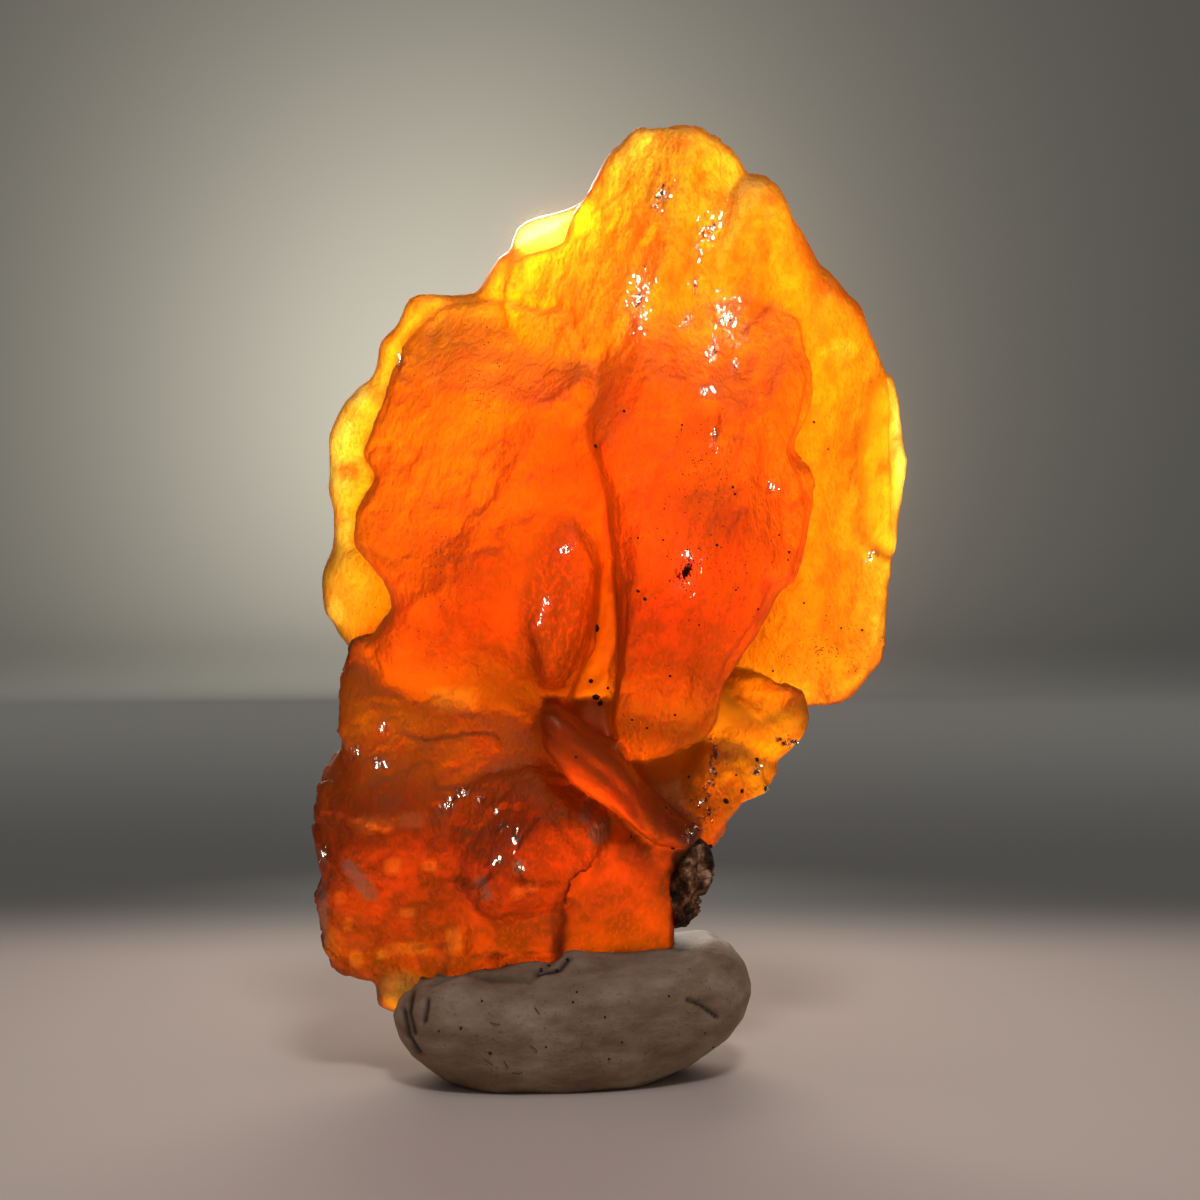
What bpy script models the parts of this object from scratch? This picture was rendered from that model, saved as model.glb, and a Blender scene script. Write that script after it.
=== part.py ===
"""Wulfenite: one orange crystal mass with a crumb of host rock, its foot pressed into a roll of putty.

X runs to the right, Y away from the viewer and Z up. The origin is under the middle of the object, on the
surface that it stands on. Lengths below are in millimetres, and MM turns them into metres.
"""

import math

import bmesh
import bpy
import numpy as np

MM = 0.001

# Sizes that drive the build
HAIRLINE = 0.3             # gap kept between a solid and the one that it grips or grows on
MIDDLE = (-0.12, 0.3)      # added to x and y, which centres the whole object over the origin
SPHERE_STEPS = 5           # subdivisions of the ball that each slab starts from
SKIN_VOXEL = 0.2           # grain of the skin that joins the slabs
SKIN_TRIANGLES = 0.09      # share of the skin's triangles that is kept

ROLL_HALF_DEPTH = 3.5
ROLL_TURN = math.radians(7.0)   # the right end of the roll lies a little farther back

# Slabs of the crystal mass. Each outline is seen from the front, as (x, z) points. depth is the y of the
# slab's middle, half its half thickness, edge how square its rim is (1 is an ellipse, 0.3 nearly a box),
# lean the y gained per millimetre of x and of z, and flats the planes that its faces are broken along:
# a direction, and how far along it from the slab's middle the plane stands.
SLABS = {
    "crown": dict(
        outline=[(-3.7, 26.6), (-3.4, 28.0), (-1.6, 28.5), (-1.2, 29.7), (-0.6, 30.5), (-0.1, 31.5),
                 (0.8, 32.3), (2.4, 32.5), (3.0, 32.5), (4.1, 31.7), (4.5, 31.1), (4.7, 29.8), (4.8, 28.0),
                 (5.8, 25.6), (5.1, 22.6), (1.0, 21.5), (-2.4, 23.2)],
        depth=0.4, half=2.5, edge=0.75, lean=(0.06, 0.04),
        flats=[((-0.45, -1.0, 0.35), 2.3), ((0.5, -1.0, 0.1), 2.4), ((0.1, 1.0, 0.45), 2.4)]),
    "right plate": dict(
        outline=[(3.1, 30.0), (4.5, 30.8), (5.1, 30.8), (5.9, 30.3), (6.2, 29.4), (6.7, 28.8), (7.1, 27.9),
                 (8.1, 26.9), (8.7, 26.3), (9.1, 25.3), (9.5, 24.1), (9.6, 22.8), (9.7, 19.9), (9.8, 18.0),
                 (9.7, 15.3), (9.6, 14.2), (8.8, 13.3), (8.4, 12.6), (7.4, 12.3), (6.7, 12.2), (5.0, 12.3),
                 (4.0, 13.0), (3.9, 13.5), (1.4, 15.0), (0.3, 20.5), (1.4, 26.6)],
        depth=0.9, half=1.75, edge=0.6, lean=(0.08, -0.03),
        flats=[((0.35, -1.0, -0.1), 1.7), ((-0.1, -1.0, -0.5), 2.9), ((0.4, 1.0, 0.0), 2.1)]),
    "edge flake": dict(
        outline=[(9.2, 24.4), (9.8, 24.0), (10.0, 23.4), (10.2, 22.1), (10.3, 21.1), (10.2, 19.8),
                 (10.0, 19.0), (10.0, 18.2), (9.8, 17.6), (8.6, 18.3), (8.2, 21.8), (8.6, 23.9)],
        depth=2.2, half=0.5, edge=0.5, lean=(0.1, 0.0), flats=[]),
    "heart": dict(
        outline=[(-0.2, 20.1), (-0.7, 21.9), (-0.8, 23.9), (-0.3, 25.9), (1.0, 27.1), (3.0, 27.4),
                 (5.0, 26.8), (6.3, 25.8), (6.7, 24.2), (6.8, 23.3), (6.1, 21.7), (6.8, 20.8), (6.9, 19.8),
                 (6.7, 18.7), (6.3, 17.2), (5.7, 16.9), (4.9, 15.3), (4.2, 14.4), (3.8, 13.8), (3.6, 12.7),
                 (3.4, 12.0), (2.0, 11.4), (1.0, 11.2), (0.2, 11.7), (0.1, 13.1), (0.3, 15.2), (0.2, 17.2)],
        depth=-1.3, half=3.1, edge=0.62, lean=(0.1, 0.05),
        flats=[((-0.1, -1.0, 0.12), 2.7), ((0.55, -1.0, 0.1), 3.3), ((0.1, -1.0, -0.45), 3.7),
               ((0.1, -1.0, 0.6), 3.7), ((-0.7, -1.0, 0.5), 4.0)]),
    "left slab": dict(
        outline=[(-7.5, 23.9), (-7.1, 25.1), (-6.6, 25.8), (-6.0, 26.3), (-4.5, 26.7), (-3.1, 26.6),
                 (-1.9, 26.5), (-1.3, 26.1), (-0.7, 25.1), (-0.2, 23.3), (0.1, 20.9), (-0.2, 17.9),
                 (-0.5, 15.1), (-1.4, 12.9), (-2.4, 12.5), (-4.4, 12.4), (-6.5, 12.9), (-8.3, 13.4),
                 (-8.8, 14.3), (-8.1, 15.1), (-7.1, 16.0), (-7.6, 17.3), (-8.6, 18.4), (-8.5, 19.5),
                 (-7.9, 20.7), (-8.4, 21.4), (-7.9, 22.6)],
        depth=-0.8, half=2.6, edge=0.5, lean=(-0.08, 0.04),
        flats=[((-0.3, -1.0, 0.2), 2.4), ((0.35, -1.0, -0.1), 2.6), ((-0.2, -1.0, 0.9), 3.9),
               ((-0.9, -1.0, -0.2), 3.8), ((0.0, -1.0, -0.55), 3.5)]),
    "left rim": dict(
        outline=[(-3.4, 28.4), (-3.9, 28.1), (-4.2, 27.5), (-4.6, 26.9), (-5.7, 26.8), (-6.4, 26.9),
                 (-6.9, 26.7), (-7.4, 25.6), (-7.8, 25.3), (-8.2, 24.0), (-8.7, 23.7), (-9.3, 22.9),
                 (-9.7, 22.0), (-9.7, 20.2), (-9.5, 19.4), (-9.5, 18.1), (-9.9, 17.2), (-9.9, 16.6),
                 (-9.8, 15.8), (-9.1, 14.7), (-8.8, 13.9), (-6.2, 12.8), (-2.4, 14.9), (-0.7, 19.8),
                 (-0.7, 25.6), (-1.7, 28.0)],
        depth=1.4, half=1.1, edge=0.55, lean=(-0.05, 0.03), flats=[((-0.25, 1.0, 0.1), 1.3)]),
    "sliver": dict(
        outline=[(-3.6, 27.9), (-3.4, 28.6), (-3.2, 29.1), (-2.8, 29.4), (-2.1, 29.6), (-1.3, 29.8),
                 (-0.6, 30.2), (-0.2, 29.1), (-1.0, 27.5), (-2.6, 27.0)],
        depth=1.9, half=0.5, edge=0.5, lean=(0.0, 0.15), flats=[]),
    "back slab": dict(
        outline=[(-5.6, 24.2), (-2.2, 26.0), (2.4, 28.2), (5.6, 27.0), (7.2, 22.2), (6.2, 16.8), (3.4, 13.0),
                 (-1.8, 11.6), (-5.4, 14.2), (-6.6, 19.0)],
        depth=1.3, half=2.5, edge=0.6, lean=(0.05, -0.03),
        flats=[((-0.35, 1.0, 0.3), 2.2), ((0.5, 1.0, 0.15), 2.4), ((0.1, 1.0, -0.6), 2.9)]),
    "lower left": dict(
        outline=[(-8.8, 15.1), (-9.0, 14.3), (-9.2, 12.3), (-9.1, 11.6), (-9.4, 11.1), (-10.0, 9.9),
                 (-10.1, 8.5), (-9.8, 6.8), (-10.1, 6.1), (-9.9, 4.7), (-9.3, 3.7), (-8.0, 3.4), (-5.9, 3.2),
                 (-3.8, 3.1), (-1.7, 4.0), (-0.7, 7.5), (-0.7, 10.9), (-1.7, 13.3), (-4.4, 14.7),
                 (-7.2, 15.1)],
        depth=0.0, half=3.1, edge=0.6, lean=(-0.05, -0.02),
        flats=[((-0.1, -1.0, -0.4), 3.2), ((0.1, -1.0, 0.35), 2.8), ((-0.8, -1.0, 0.1), 4.2),
               ((0.1, 1.0, -0.35), 3.0), ((-0.5, 1.0, 0.3), 3.2)]),
    "lower right": dict(
        outline=[(-3.8, 12.3), (-1.7, 13.0), (1.0, 13.0), (3.4, 12.0), (3.8, 10.9), (3.6, 9.6), (3.2, 8.6),
                 (2.7, 7.7), (2.3, 6.8), (2.2, 5.8), (2.2, 4.9), (2.2, 4.0), (2.1, 3.0), (-0.3, 2.9),
                 (-3.8, 2.9), (-5.9, 3.0), (-5.5, 6.0), (-4.8, 9.5)],
        depth=0.1, half=3.1, edge=0.6, lean=(0.0, 0.0),
        flats=[((0.15, -1.0, -0.42), 2.5), ((0.25, -1.0, 0.5), 2.9), ((0.0, 1.0, -0.4), 2.7),
               ((0.6, 1.0, 0.1), 3.2)]),
    "front lump": dict(
        outline=[(-5.3, 10.3), (-5.6, 9.3), (-5.5, 7.9), (-4.5, 6.1), (-3.6, 5.9), (-1.9, 6.3), (-1.3, 6.9),
                 (-0.3, 8.0), (0.0, 8.5), (-0.1, 9.4), (-0.7, 10.1), (-2.2, 11.0), (-4.0, 10.8)],
        depth=-2.1, half=1.9, edge=0.85, lean=(0.0, 0.0),
        flats=[((-0.4, -1.0, 0.4), 1.75), ((0.3, -1.0, -0.3), 1.75)]),
    "ridge plate": dict(
        outline=[(-2.3, 13.2), (-1.7, 13.1), (-1.0, 12.5), (0.3, 11.5), (1.6, 9.8), (2.6, 9.0), (2.7, 8.3),
                 (1.5, 8.4), (0.0, 9.8), (-1.3, 10.7), (-2.2, 11.9)],
        depth=-2.2, half=2.0, edge=0.45, lean=(0.2, 0.0), flats=[]),
    "upper step": dict(
        outline=[(3.3, 14.0), (5.0, 13.8), (6.6, 13.2), (6.8, 12.4), (6.7, 11.8), (6.2, 11.3), (6.0, 11.0),
                 (5.2, 10.6), (3.8, 10.7), (2.6, 11.8)],
        depth=0.5, half=1.3, edge=0.6, lean=(0.0, 0.0), flats=[((0.3, -1.0, 0.3), 1.1)]),
    "lower step": dict(
        outline=[(4.6, 11.4), (5.6, 11.0), (5.8, 10.5), (5.4, 9.8), (4.6, 9.5), (4.0, 8.8), (3.7, 8.2),
                 (3.4, 7.8), (2.6, 8.2), (2.0, 9.2), (2.2, 10.4), (3.2, 11.8)],
        depth=0.2, half=1.7, edge=0.6, lean=(0.0, 0.0), flats=[((0.5, -1.0, 0.0), 1.5)]),
    "oval face": dict(
        outline=[(-1.8, 19.6), (-1.0, 19.3), (-0.5, 18.5), (-0.3, 17.2), (-0.6, 15.6), (-1.1, 14.5),
                 (-1.7, 13.6), (-2.2, 13.6), (-2.7, 15.0), (-3.0, 16.6), (-2.7, 18.3), (-2.3, 19.2)],
        depth=-2.0, half=1.5, edge=0.6, lean=(0.12, 0.0), flats=[((-0.25, -1.0, 0.1), 1.25)]),
    "tab": dict(
        outline=[(-8.0, 4.4), (-8.0, 2.5), (-7.2, 2.2), (-6.2, 2.3), (-5.6, 4.4)],
        depth=-0.2, half=0.8, edge=0.4, lean=(0.0, 0.0), flats=[]),
}
CRUMB = dict(
    outline=[(2.0, 8.0), (2.8, 8.2), (3.2, 8.0), (3.5, 7.6), (3.7, 7.0), (3.4, 6.5), (3.2, 6.1), (3.1, 5.6),
             (2.8, 5.1), (2.0, 5.1), (1.4, 5.8), (1.4, 7.0)],
    depth=-0.6, half=2.0, edge=0.8, lean=(0.0, 0.0), flats=[])

ROLL = dict(
    outline=[(-7.4, 2.3), (-7.1, 2.9), (-6.3, 3.5), (-5.3, 3.9), (-4.2, 4.1), (-2.9, 4.4), (-1.2, 4.5),
             (1.0, 4.5), (2.4, 4.6), (3.5, 4.7), (4.2, 4.3), (4.7, 3.6), (4.9, 2.8), (4.7, 2.0), (4.1, 1.3),
             (2.9, 0.5), (1.2, -0.3), (-1.5, -0.7), (-4.4, -0.4), (-5.8, 0.3), (-6.8, 1.0), (-7.2, 1.6)],
    depth=0.0, half=ROLL_HALF_DEPTH, edge=0.72, lean=(0.0, 0.0), flats=[])


def clear_scene():
    """Remove every object that the file opened with."""
    for item in list(bpy.data.objects):
        bpy.data.objects.remove(item, do_unlink=True)


def collection(name):
    """A new collection in the scene."""
    made = bpy.data.collections.new(name)
    bpy.context.scene.collection.children.link(made)
    return made


def material(name, colour, roughness, transmission=0.0, ior=1.5):
    """A Principled material."""
    made = bpy.data.materials.new(name)
    made.use_nodes = True
    made.diffuse_color = (*colour, 1.0)
    shader = made.node_tree.nodes["Principled BSDF"]
    shader.inputs["Base Color"].default_value = (*colour, 1.0)
    shader.inputs["Roughness"].default_value = roughness
    shader.inputs["Metallic"].default_value = 0.0
    shader.inputs["Transmission Weight"].default_value = transmission
    shader.inputs["IOR"].default_value = ior
    return made


def middle_of(outline):
    """The centre of the area inside an outline."""
    x, z = np.array(outline).T
    x_next, z_next = np.roll(x, -1), np.roll(z, -1)
    cross = x * z_next - x_next * z
    area = cross.sum() / 2
    return ((x + x_next) * cross).sum() / (6 * area), ((z + z_next) * cross).sum() / (6 * area)


def reach_of(outline, middle, angles, steps=12):
    """How far the outline lies from its middle in each direction, its sides cut in short steps."""
    corners = np.array(outline) - middle
    along = np.linspace(0.0, 1.0, steps, endpoint=False)[:, None, None]
    points = corners + (np.roll(corners, -1, axis=0) - corners) * along
    points = points.reshape(-1, 2)
    turn = np.arctan2(points[:, 1], points[:, 0])
    order = np.argsort(turn)
    reach = np.hypot(points[:, 0], points[:, 1])
    return np.interp(angles, turn[order], reach[order], period=2 * math.pi)


def slab_points(ball, slab):
    """Move the points of a unit ball out to a slab's rim and faces, then on to the planes it broke along."""
    middle = middle_of(slab["outline"])
    angles = np.arctan2(ball[:, 2], ball[:, 0])
    across = np.hypot(ball[:, 0], ball[:, 2]) ** slab["edge"]
    reach = across * reach_of(slab["outline"], middle, angles)
    x = reach * np.cos(angles)
    z = reach * np.sin(angles)
    y = np.sign(ball[:, 1]) * np.abs(ball[:, 1]) ** slab["edge"] * slab["half"]
    points = np.stack([x, y, z], axis=1)
    for direction, stand in slab["flats"]:
        normal = np.array(direction) / np.linalg.norm(direction)
        over = np.maximum(points @ normal - stand, 0.0)
        points -= over[:, None] * normal
    points[:, 1] += slab["depth"] + slab["lean"][0] * points[:, 0] + slab["lean"][1] * points[:, 2]
    return points + (middle[0] + MIDDLE[0], MIDDLE[1], middle[1])


def slab_mesh(target, slab, steps=SPHERE_STEPS):
    """Add one slab to a bmesh: a ball, pushed out to the slab's shape."""
    made = bmesh.ops.create_icosphere(target, subdivisions=steps, radius=1.0)["verts"]
    ball = np.array([v.co for v in made])
    for vertex, place in zip(made, slab_points(ball, slab) * MM):
        vertex.co = place


def new_object(name, shape, home, look=None):
    """An object made from a bmesh."""
    mesh = bpy.data.meshes.new(name)
    shape.to_mesh(mesh)
    shape.free()
    made = bpy.data.objects.new(name, mesh)
    home.objects.link(made)
    if look:
        mesh.materials.append(look)
    return made


def joined_skin(name, home, look=None):
    """The slabs of the crystal mass, which overlap, joined in one uneven skin."""
    shape = bmesh.new()
    for slab in SLABS.values():
        slab_mesh(shape, slab)
    made = new_object(name, shape, home, look)
    skin = made.modifiers.new("one skin", "REMESH")
    skin.mode = "VOXEL"
    skin.voxel_size = SKIN_VOXEL * MM
    ripple(made, "wide swells", "CLOUDS", 2.6, 0.35, noise_depth=1)
    ripple(made, "broken chips", "VORONOI", 1.5, 0.25)
    return made


def ripple(made, name, kind, size, height, **settings):
    """Waves of relief along the surface normals, from one of Blender's solid textures."""
    grain = bpy.data.textures.new(name, kind)
    for key, value in settings.items():
        setattr(grain, key, value)
    grain.noise_scale = size * MM
    wave = made.modifiers.new(name, "DISPLACE")
    wave.texture = grain
    wave.texture_coords = "LOCAL"
    wave.strength = height * MM
    wave.mid_level = 0.5


def thin_out(made, share):
    """Fewer triangles, with the large forms kept."""
    fewer = made.modifiers.new("fewer triangles", "DECIMATE")
    fewer.ratio = share
    fewer.use_collapse_triangulate = True


def cut_with(made, cutter):
    """Take a cutter's space out of an object."""
    cut = made.modifiers.new("room for the crystal", "BOOLEAN")
    cut.operation = "DIFFERENCE"
    cut.solver = "EXACT"
    cut.object = cutter


def make_crystal(home):
    """The whole orange mass, in one skin."""
    look = material("wulfenite", (0.95, 0.30, 0.03), 0.25, transmission=0.6, ior=2.3)
    crystal = joined_skin("wulfenite_crystal", home, look)
    thin_out(crystal, SKIN_TRIANGLES)
    return crystal


def make_cutter(home):
    """The space that the crystal takes, with a hairline all round."""
    cutter = joined_skin("crystal_space", home)
    hairline = cutter.modifiers.new("hairline", "DISPLACE")
    hairline.strength = HAIRLINE * MM
    hairline.mid_level = 0.0
    thin_out(cutter, SKIN_TRIANGLES)
    cutter.hide_render = True
    cutter.display_type = "WIRE"
    return cutter


def make_crumb(home, cutter):
    """The dark crumb of host rock on the right of the crystal's foot."""
    look = material("host rock", (0.10, 0.055, 0.03), 0.85)
    shape = bmesh.new()
    slab_mesh(shape, CRUMB, steps=3)
    crumb = new_object("matrix_crumb", shape, home, look)
    ripple(crumb, "crumb lumps", "CLOUDS", 0.7, 0.4)
    cut_with(crumb, cutter)
    return crumb


def make_roll(home, cutter):
    """The roll of putty: rounded ends, pressed flat below, with a socket for the crystal's foot."""
    look = material("putty", (0.36, 0.33, 0.30), 0.9)
    shape = bmesh.new()
    slab_mesh(shape, ROLL, steps=4)
    roll = new_object("putty_roll", shape, home, look)
    mesh = roll.data
    points = np.array([v.co for v in mesh.vertices])
    middle_x = (middle_of(ROLL["outline"])[0] + MIDDLE[0]) * MM
    points[:, 1] += (points[:, 0] - middle_x) * math.tan(ROLL_TURN)
    points[:, 2] = np.maximum(points[:, 2], 0.0)
    mesh.vertices.foreach_set("co", points.ravel())
    cut_with(roll, cutter)
    return roll


def main():
    clear_scene()
    parts = collection("wulfenite")
    cutters = collection("cutters")
    make_crystal(parts)
    cutter = make_cutter(cutters)
    make_crumb(parts, cutter)
    make_roll(parts, cutter)


main()
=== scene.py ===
# %% [markdown]
# A wulfenite crystal on a roll of putty, lit from behind.
#
# Wulfenite is lead molybdate. It grows as thin square tablets with a very high refractive index, and light that
# gets into a cluster of them comes out orange: yellow through a thin edge, deep red-orange through a thick heart.
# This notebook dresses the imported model, which already has the right size and pieces: one crystal mass, one crumb
# of host rock and one roll of putty. The order is camera, helpers, crystal, small grains, rock, putty and studio.

import math

import bpy
import numpy as np
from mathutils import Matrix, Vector


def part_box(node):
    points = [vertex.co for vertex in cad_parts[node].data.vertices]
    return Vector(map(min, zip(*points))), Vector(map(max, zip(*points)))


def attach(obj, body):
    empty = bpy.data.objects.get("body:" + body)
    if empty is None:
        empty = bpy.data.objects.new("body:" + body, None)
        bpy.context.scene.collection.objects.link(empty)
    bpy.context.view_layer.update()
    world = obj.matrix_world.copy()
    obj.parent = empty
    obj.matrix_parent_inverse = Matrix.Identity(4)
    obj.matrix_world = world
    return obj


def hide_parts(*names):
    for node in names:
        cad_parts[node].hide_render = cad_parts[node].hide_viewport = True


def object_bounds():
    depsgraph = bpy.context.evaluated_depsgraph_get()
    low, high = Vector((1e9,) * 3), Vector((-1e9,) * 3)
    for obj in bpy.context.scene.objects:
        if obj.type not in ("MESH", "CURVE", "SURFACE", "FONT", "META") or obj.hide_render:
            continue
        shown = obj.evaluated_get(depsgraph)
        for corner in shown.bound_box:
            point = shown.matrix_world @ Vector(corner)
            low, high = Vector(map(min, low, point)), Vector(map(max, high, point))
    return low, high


MM = 0.001

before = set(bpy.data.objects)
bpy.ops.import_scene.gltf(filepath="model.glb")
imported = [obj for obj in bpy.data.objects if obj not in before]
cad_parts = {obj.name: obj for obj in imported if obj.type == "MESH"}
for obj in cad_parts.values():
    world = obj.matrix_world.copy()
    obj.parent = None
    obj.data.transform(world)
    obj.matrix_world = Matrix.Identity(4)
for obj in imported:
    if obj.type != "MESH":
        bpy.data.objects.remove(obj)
cad_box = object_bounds()
print("nodes:", ", ".join(sorted(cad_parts)))

# %% [markdown]
# The camera comes first, because marks on the crystal are placed by where the photograph shows them. It stands
# about a hand's width away, a little above the foot, and looks slightly down. seen_at turns a place in space
# into a pixel of the photograph, and ray_through goes the other way, from a pixel to a line of sight.

# %% Camera
EYE = Vector((-0.46, -99.7, 25.0)) * MM
LOOKING_DOWN = math.radians(4.9)
PHOTO_SIDE = 1200
FOCAL_PIXELS = 2940
SENSOR = 36.0


def make_camera():
    """The photograph's viewpoint: its place, its tilt and its lens."""
    lens = bpy.data.cameras.new("camera")
    lens.sensor_width = SENSOR
    lens.lens = FOCAL_PIXELS / PHOTO_SIDE * SENSOR
    lens.clip_start = 1 * MM
    made = bpy.data.objects.new("camera", lens)
    bpy.context.scene.collection.objects.link(made)
    made.location = EYE
    made.rotation_euler = (math.pi / 2 - LOOKING_DOWN, 0.0, 0.0)
    bpy.context.scene.camera = made
    return made


def seen_at(points):
    """Pixels of the photograph for points in metres.

    They are turned by the tilt, divided by the distance and multiplied by the focal length.
    """
    x, y, z = (points - np.array(EYE)).T
    far = y * math.cos(LOOKING_DOWN) - z * math.sin(LOOKING_DOWN)
    up = y * math.sin(LOOKING_DOWN) + z * math.cos(LOOKING_DOWN)
    return PHOTO_SIDE / 2 + FOCAL_PIXELS * x / far, PHOTO_SIDE / 2 - FOCAL_PIXELS * up / far


def ray_through(px, py):
    """The direction from the eye through a pixel of the photograph."""
    across = (px - PHOTO_SIDE / 2) / FOCAL_PIXELS
    up = (PHOTO_SIDE / 2 - py) / FOCAL_PIXELS
    cos, sin = math.cos(LOOKING_DOWN), math.sin(LOOKING_DOWN)
    return Vector((across, cos + up * sin, up * cos - sin)).normalized()


camera = make_camera()
print("camera lens", round(camera.data.lens, 1), "mm")

# %% [markdown]
# Broken crystal has no plain surface, so the relief comes from two kinds of random field. Smooth noise gives
# every corner of a cubic lattice a fixed random value and blends between the corners. Cells drop one random
# point into every cube of a lattice, and each place in space belongs to its nearest point. A tilt for each cell
# turns the cells into flat chipped facets, and the borders between them are the fine lines of a network.

# %% Random fields
STIR = (73856093, 19349663, 83492791)


def stirred(corner, seed):
    """A fixed random value from 0 to 1 for each whole-number corner: its coordinates are multiplied and mixed."""
    mixed = (corner[:, 0] * STIR[0]) ^ (corner[:, 1] * STIR[1]) ^ (corner[:, 2] * STIR[2]) ^ (seed * 2654435761)
    mixed &= 0xFFFFFFFF
    mixed = ((mixed ^ (mixed >> 15)) * 2246822519) & 0xFFFFFFFF
    mixed = ((mixed ^ (mixed >> 13)) * 3266489917) & 0xFFFFFFFF
    return (mixed ^ (mixed >> 16)) / 0xFFFFFFFF


def noise(points, size, seed=1, layers=1):
    """Smooth noise from -1 to 1 with waves of that size (one number, or one for each axis).

    The eight lattice corners round a point are blended by the smooth step of where it lies between them.
    Each further layer has waves half as long and half as high.
    """
    total = np.zeros(len(points))
    for layer in range(layers):
        place = points / np.asarray(size) * 2 ** layer + seed * 17.31
        corner = np.floor(place).astype(np.int64)
        part = place - corner
        part = part * part * (3 - 2 * part)
        for step in np.ndindex(2, 2, 2):
            weight = np.prod(np.where(step, part, 1 - part), axis=1)
            total += weight * stirred(corner + step, seed + layer) / 2 ** layer
    return (total / (2 - 0.5 ** (layers - 1)) - 0.5) * 2


def cells(points, size, seed=1):
    """The cell that each point lies in: how far the nearest cell point is, how much farther the next one is,
    the way to the nearest, and three random values of that cell."""
    place = points / np.asarray(size) + seed * 9.7
    corner = np.floor(place).astype(np.int64)
    near = np.full(len(points), 9.0)
    second = np.full(len(points), 9.0)
    offset = np.zeros_like(points)
    home = np.zeros_like(corner)
    for step in np.ndindex(3, 3, 3):
        cube = corner + np.array(step) - 1
        centre = cube + np.stack([stirred(cube, seed + k) for k in range(3)], axis=1)
        away = place - centre
        distance = np.linalg.norm(away, axis=1)
        closer = distance < near
        second = np.where(closer, near, np.minimum(second, distance))
        near = np.where(closer, distance, near)
        offset[closer] = away[closer]
        home[closer] = cube[closer]
    values = np.stack([stirred(home, seed + 10 + k) for k in range(3)], axis=1)
    return near, second - near, offset, values


def facets(points, size, seed=1):
    """Chipped facets from -1 to 1: each cell is a plane with its own tilt and its own height."""
    _, _, offset, values = cells(points, size, seed)
    tilt = (values - 0.5) * 2
    return np.clip((offset * tilt).sum(axis=1) + tilt[:, 0] * 0.4, -1, 1)


def step_up(low, high, value):
    """A smooth step from 0 to 1 as the value goes from low to high."""
    part = np.clip((value - low) / (high - low), 0, 1)
    return part * part * (3 - 2 * part)


print("random fields ready")

# %% [markdown]
# A mesh is two arrays: the places of its corners and the corner numbers of its faces. These helpers put arrays
# into Blender in one go, and read an object back as arrays with its modifiers worked out.

# %% Meshes from arrays


def mesh_object(name, points, faces, smooth=True):
    """An object at the origin, from an array of places in metres and one of faces."""
    mesh = bpy.data.meshes.new(name)
    mesh.vertices.add(len(points))
    mesh.vertices.foreach_set("co", points.astype(np.float32).ravel())
    mesh.loops.add(faces.size)
    mesh.loops.foreach_set("vertex_index", faces.astype(np.int32).ravel())
    mesh.polygons.add(len(faces))
    mesh.polygons.foreach_set("loop_start", np.arange(len(faces), dtype=np.int32) * faces.shape[1])
    mesh.update(calc_edges=True)
    if smooth:
        mesh.shade_smooth()
    else:
        mesh.shade_flat()
    made = bpy.data.objects.new(name, mesh)
    bpy.context.scene.collection.objects.link(made)
    return made


def corners_of(mesh):
    """The places of a mesh's corners, as an array."""
    points = np.empty(len(mesh.vertices) * 3, np.float32)
    mesh.vertices.foreach_get("co", points)
    return points.reshape(-1, 3).astype(float)


def normals_of(mesh):
    """The directions that a mesh's corners face, as an array."""
    normals = np.empty(len(mesh.vertices) * 3, np.float32)
    mesh.vertex_normals.foreach_get("vector", normals)
    return normals.reshape(-1, 3).astype(float)


def worked_out(made):
    """Replace an object's mesh by what its modifiers make of it, and take the modifiers off."""
    graph = bpy.context.evaluated_depsgraph_get()
    mesh = bpy.data.meshes.new_from_object(made.evaluated_get(graph))
    made.modifiers.clear()
    old = made.data
    made.data = mesh
    bpy.data.meshes.remove(old)
    mesh.shade_smooth()
    return made


def grid_faces(rows, columns):
    """The faces of a ball-shaped grid: one pole corner, rows that close on themselves, and the other pole."""
    row, column = np.meshgrid(np.arange(rows - 1), np.arange(columns), indexing="ij")
    beside = (column + 1) % columns
    first, second = 1 + row * columns, 1 + (row + 1) * columns
    quads = np.stack([first + column, first + beside, second + beside, second + column], axis=-1).reshape(-1, 4)
    ring = np.arange(columns)
    pole, last = 1 + rows * columns, 1 + (rows - 1) * columns
    near = np.stack([np.zeros_like(ring), 1 + (ring + 1) % columns, 1 + ring], axis=1)
    far = np.stack([np.full_like(ring, pole), last + ring, last + (ring + 1) % columns], axis=1)
    triangles = np.concatenate([near, far])
    halves = np.concatenate([quads[:, [0, 1, 2]], quads[:, [0, 2, 3]]])
    return np.concatenate([halves, triangles])


print("mesh helpers ready")

# %% [markdown]
# The crystal mass is a stack of tablets that grew into one another. Each is a slab: an outline seen from the
# front, a thickness, a lean, and the planes that its faces broke along. The numbers are millimetres, x to the
# right and z up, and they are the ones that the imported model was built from. tone says how the tablet glows,
# from 0, deep red-orange, to 1, pale yellow, and grain which kind of relief its faces have.

# %% Slabs of the crystal mass
MIDDLE = (-0.12, 0.3)

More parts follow.
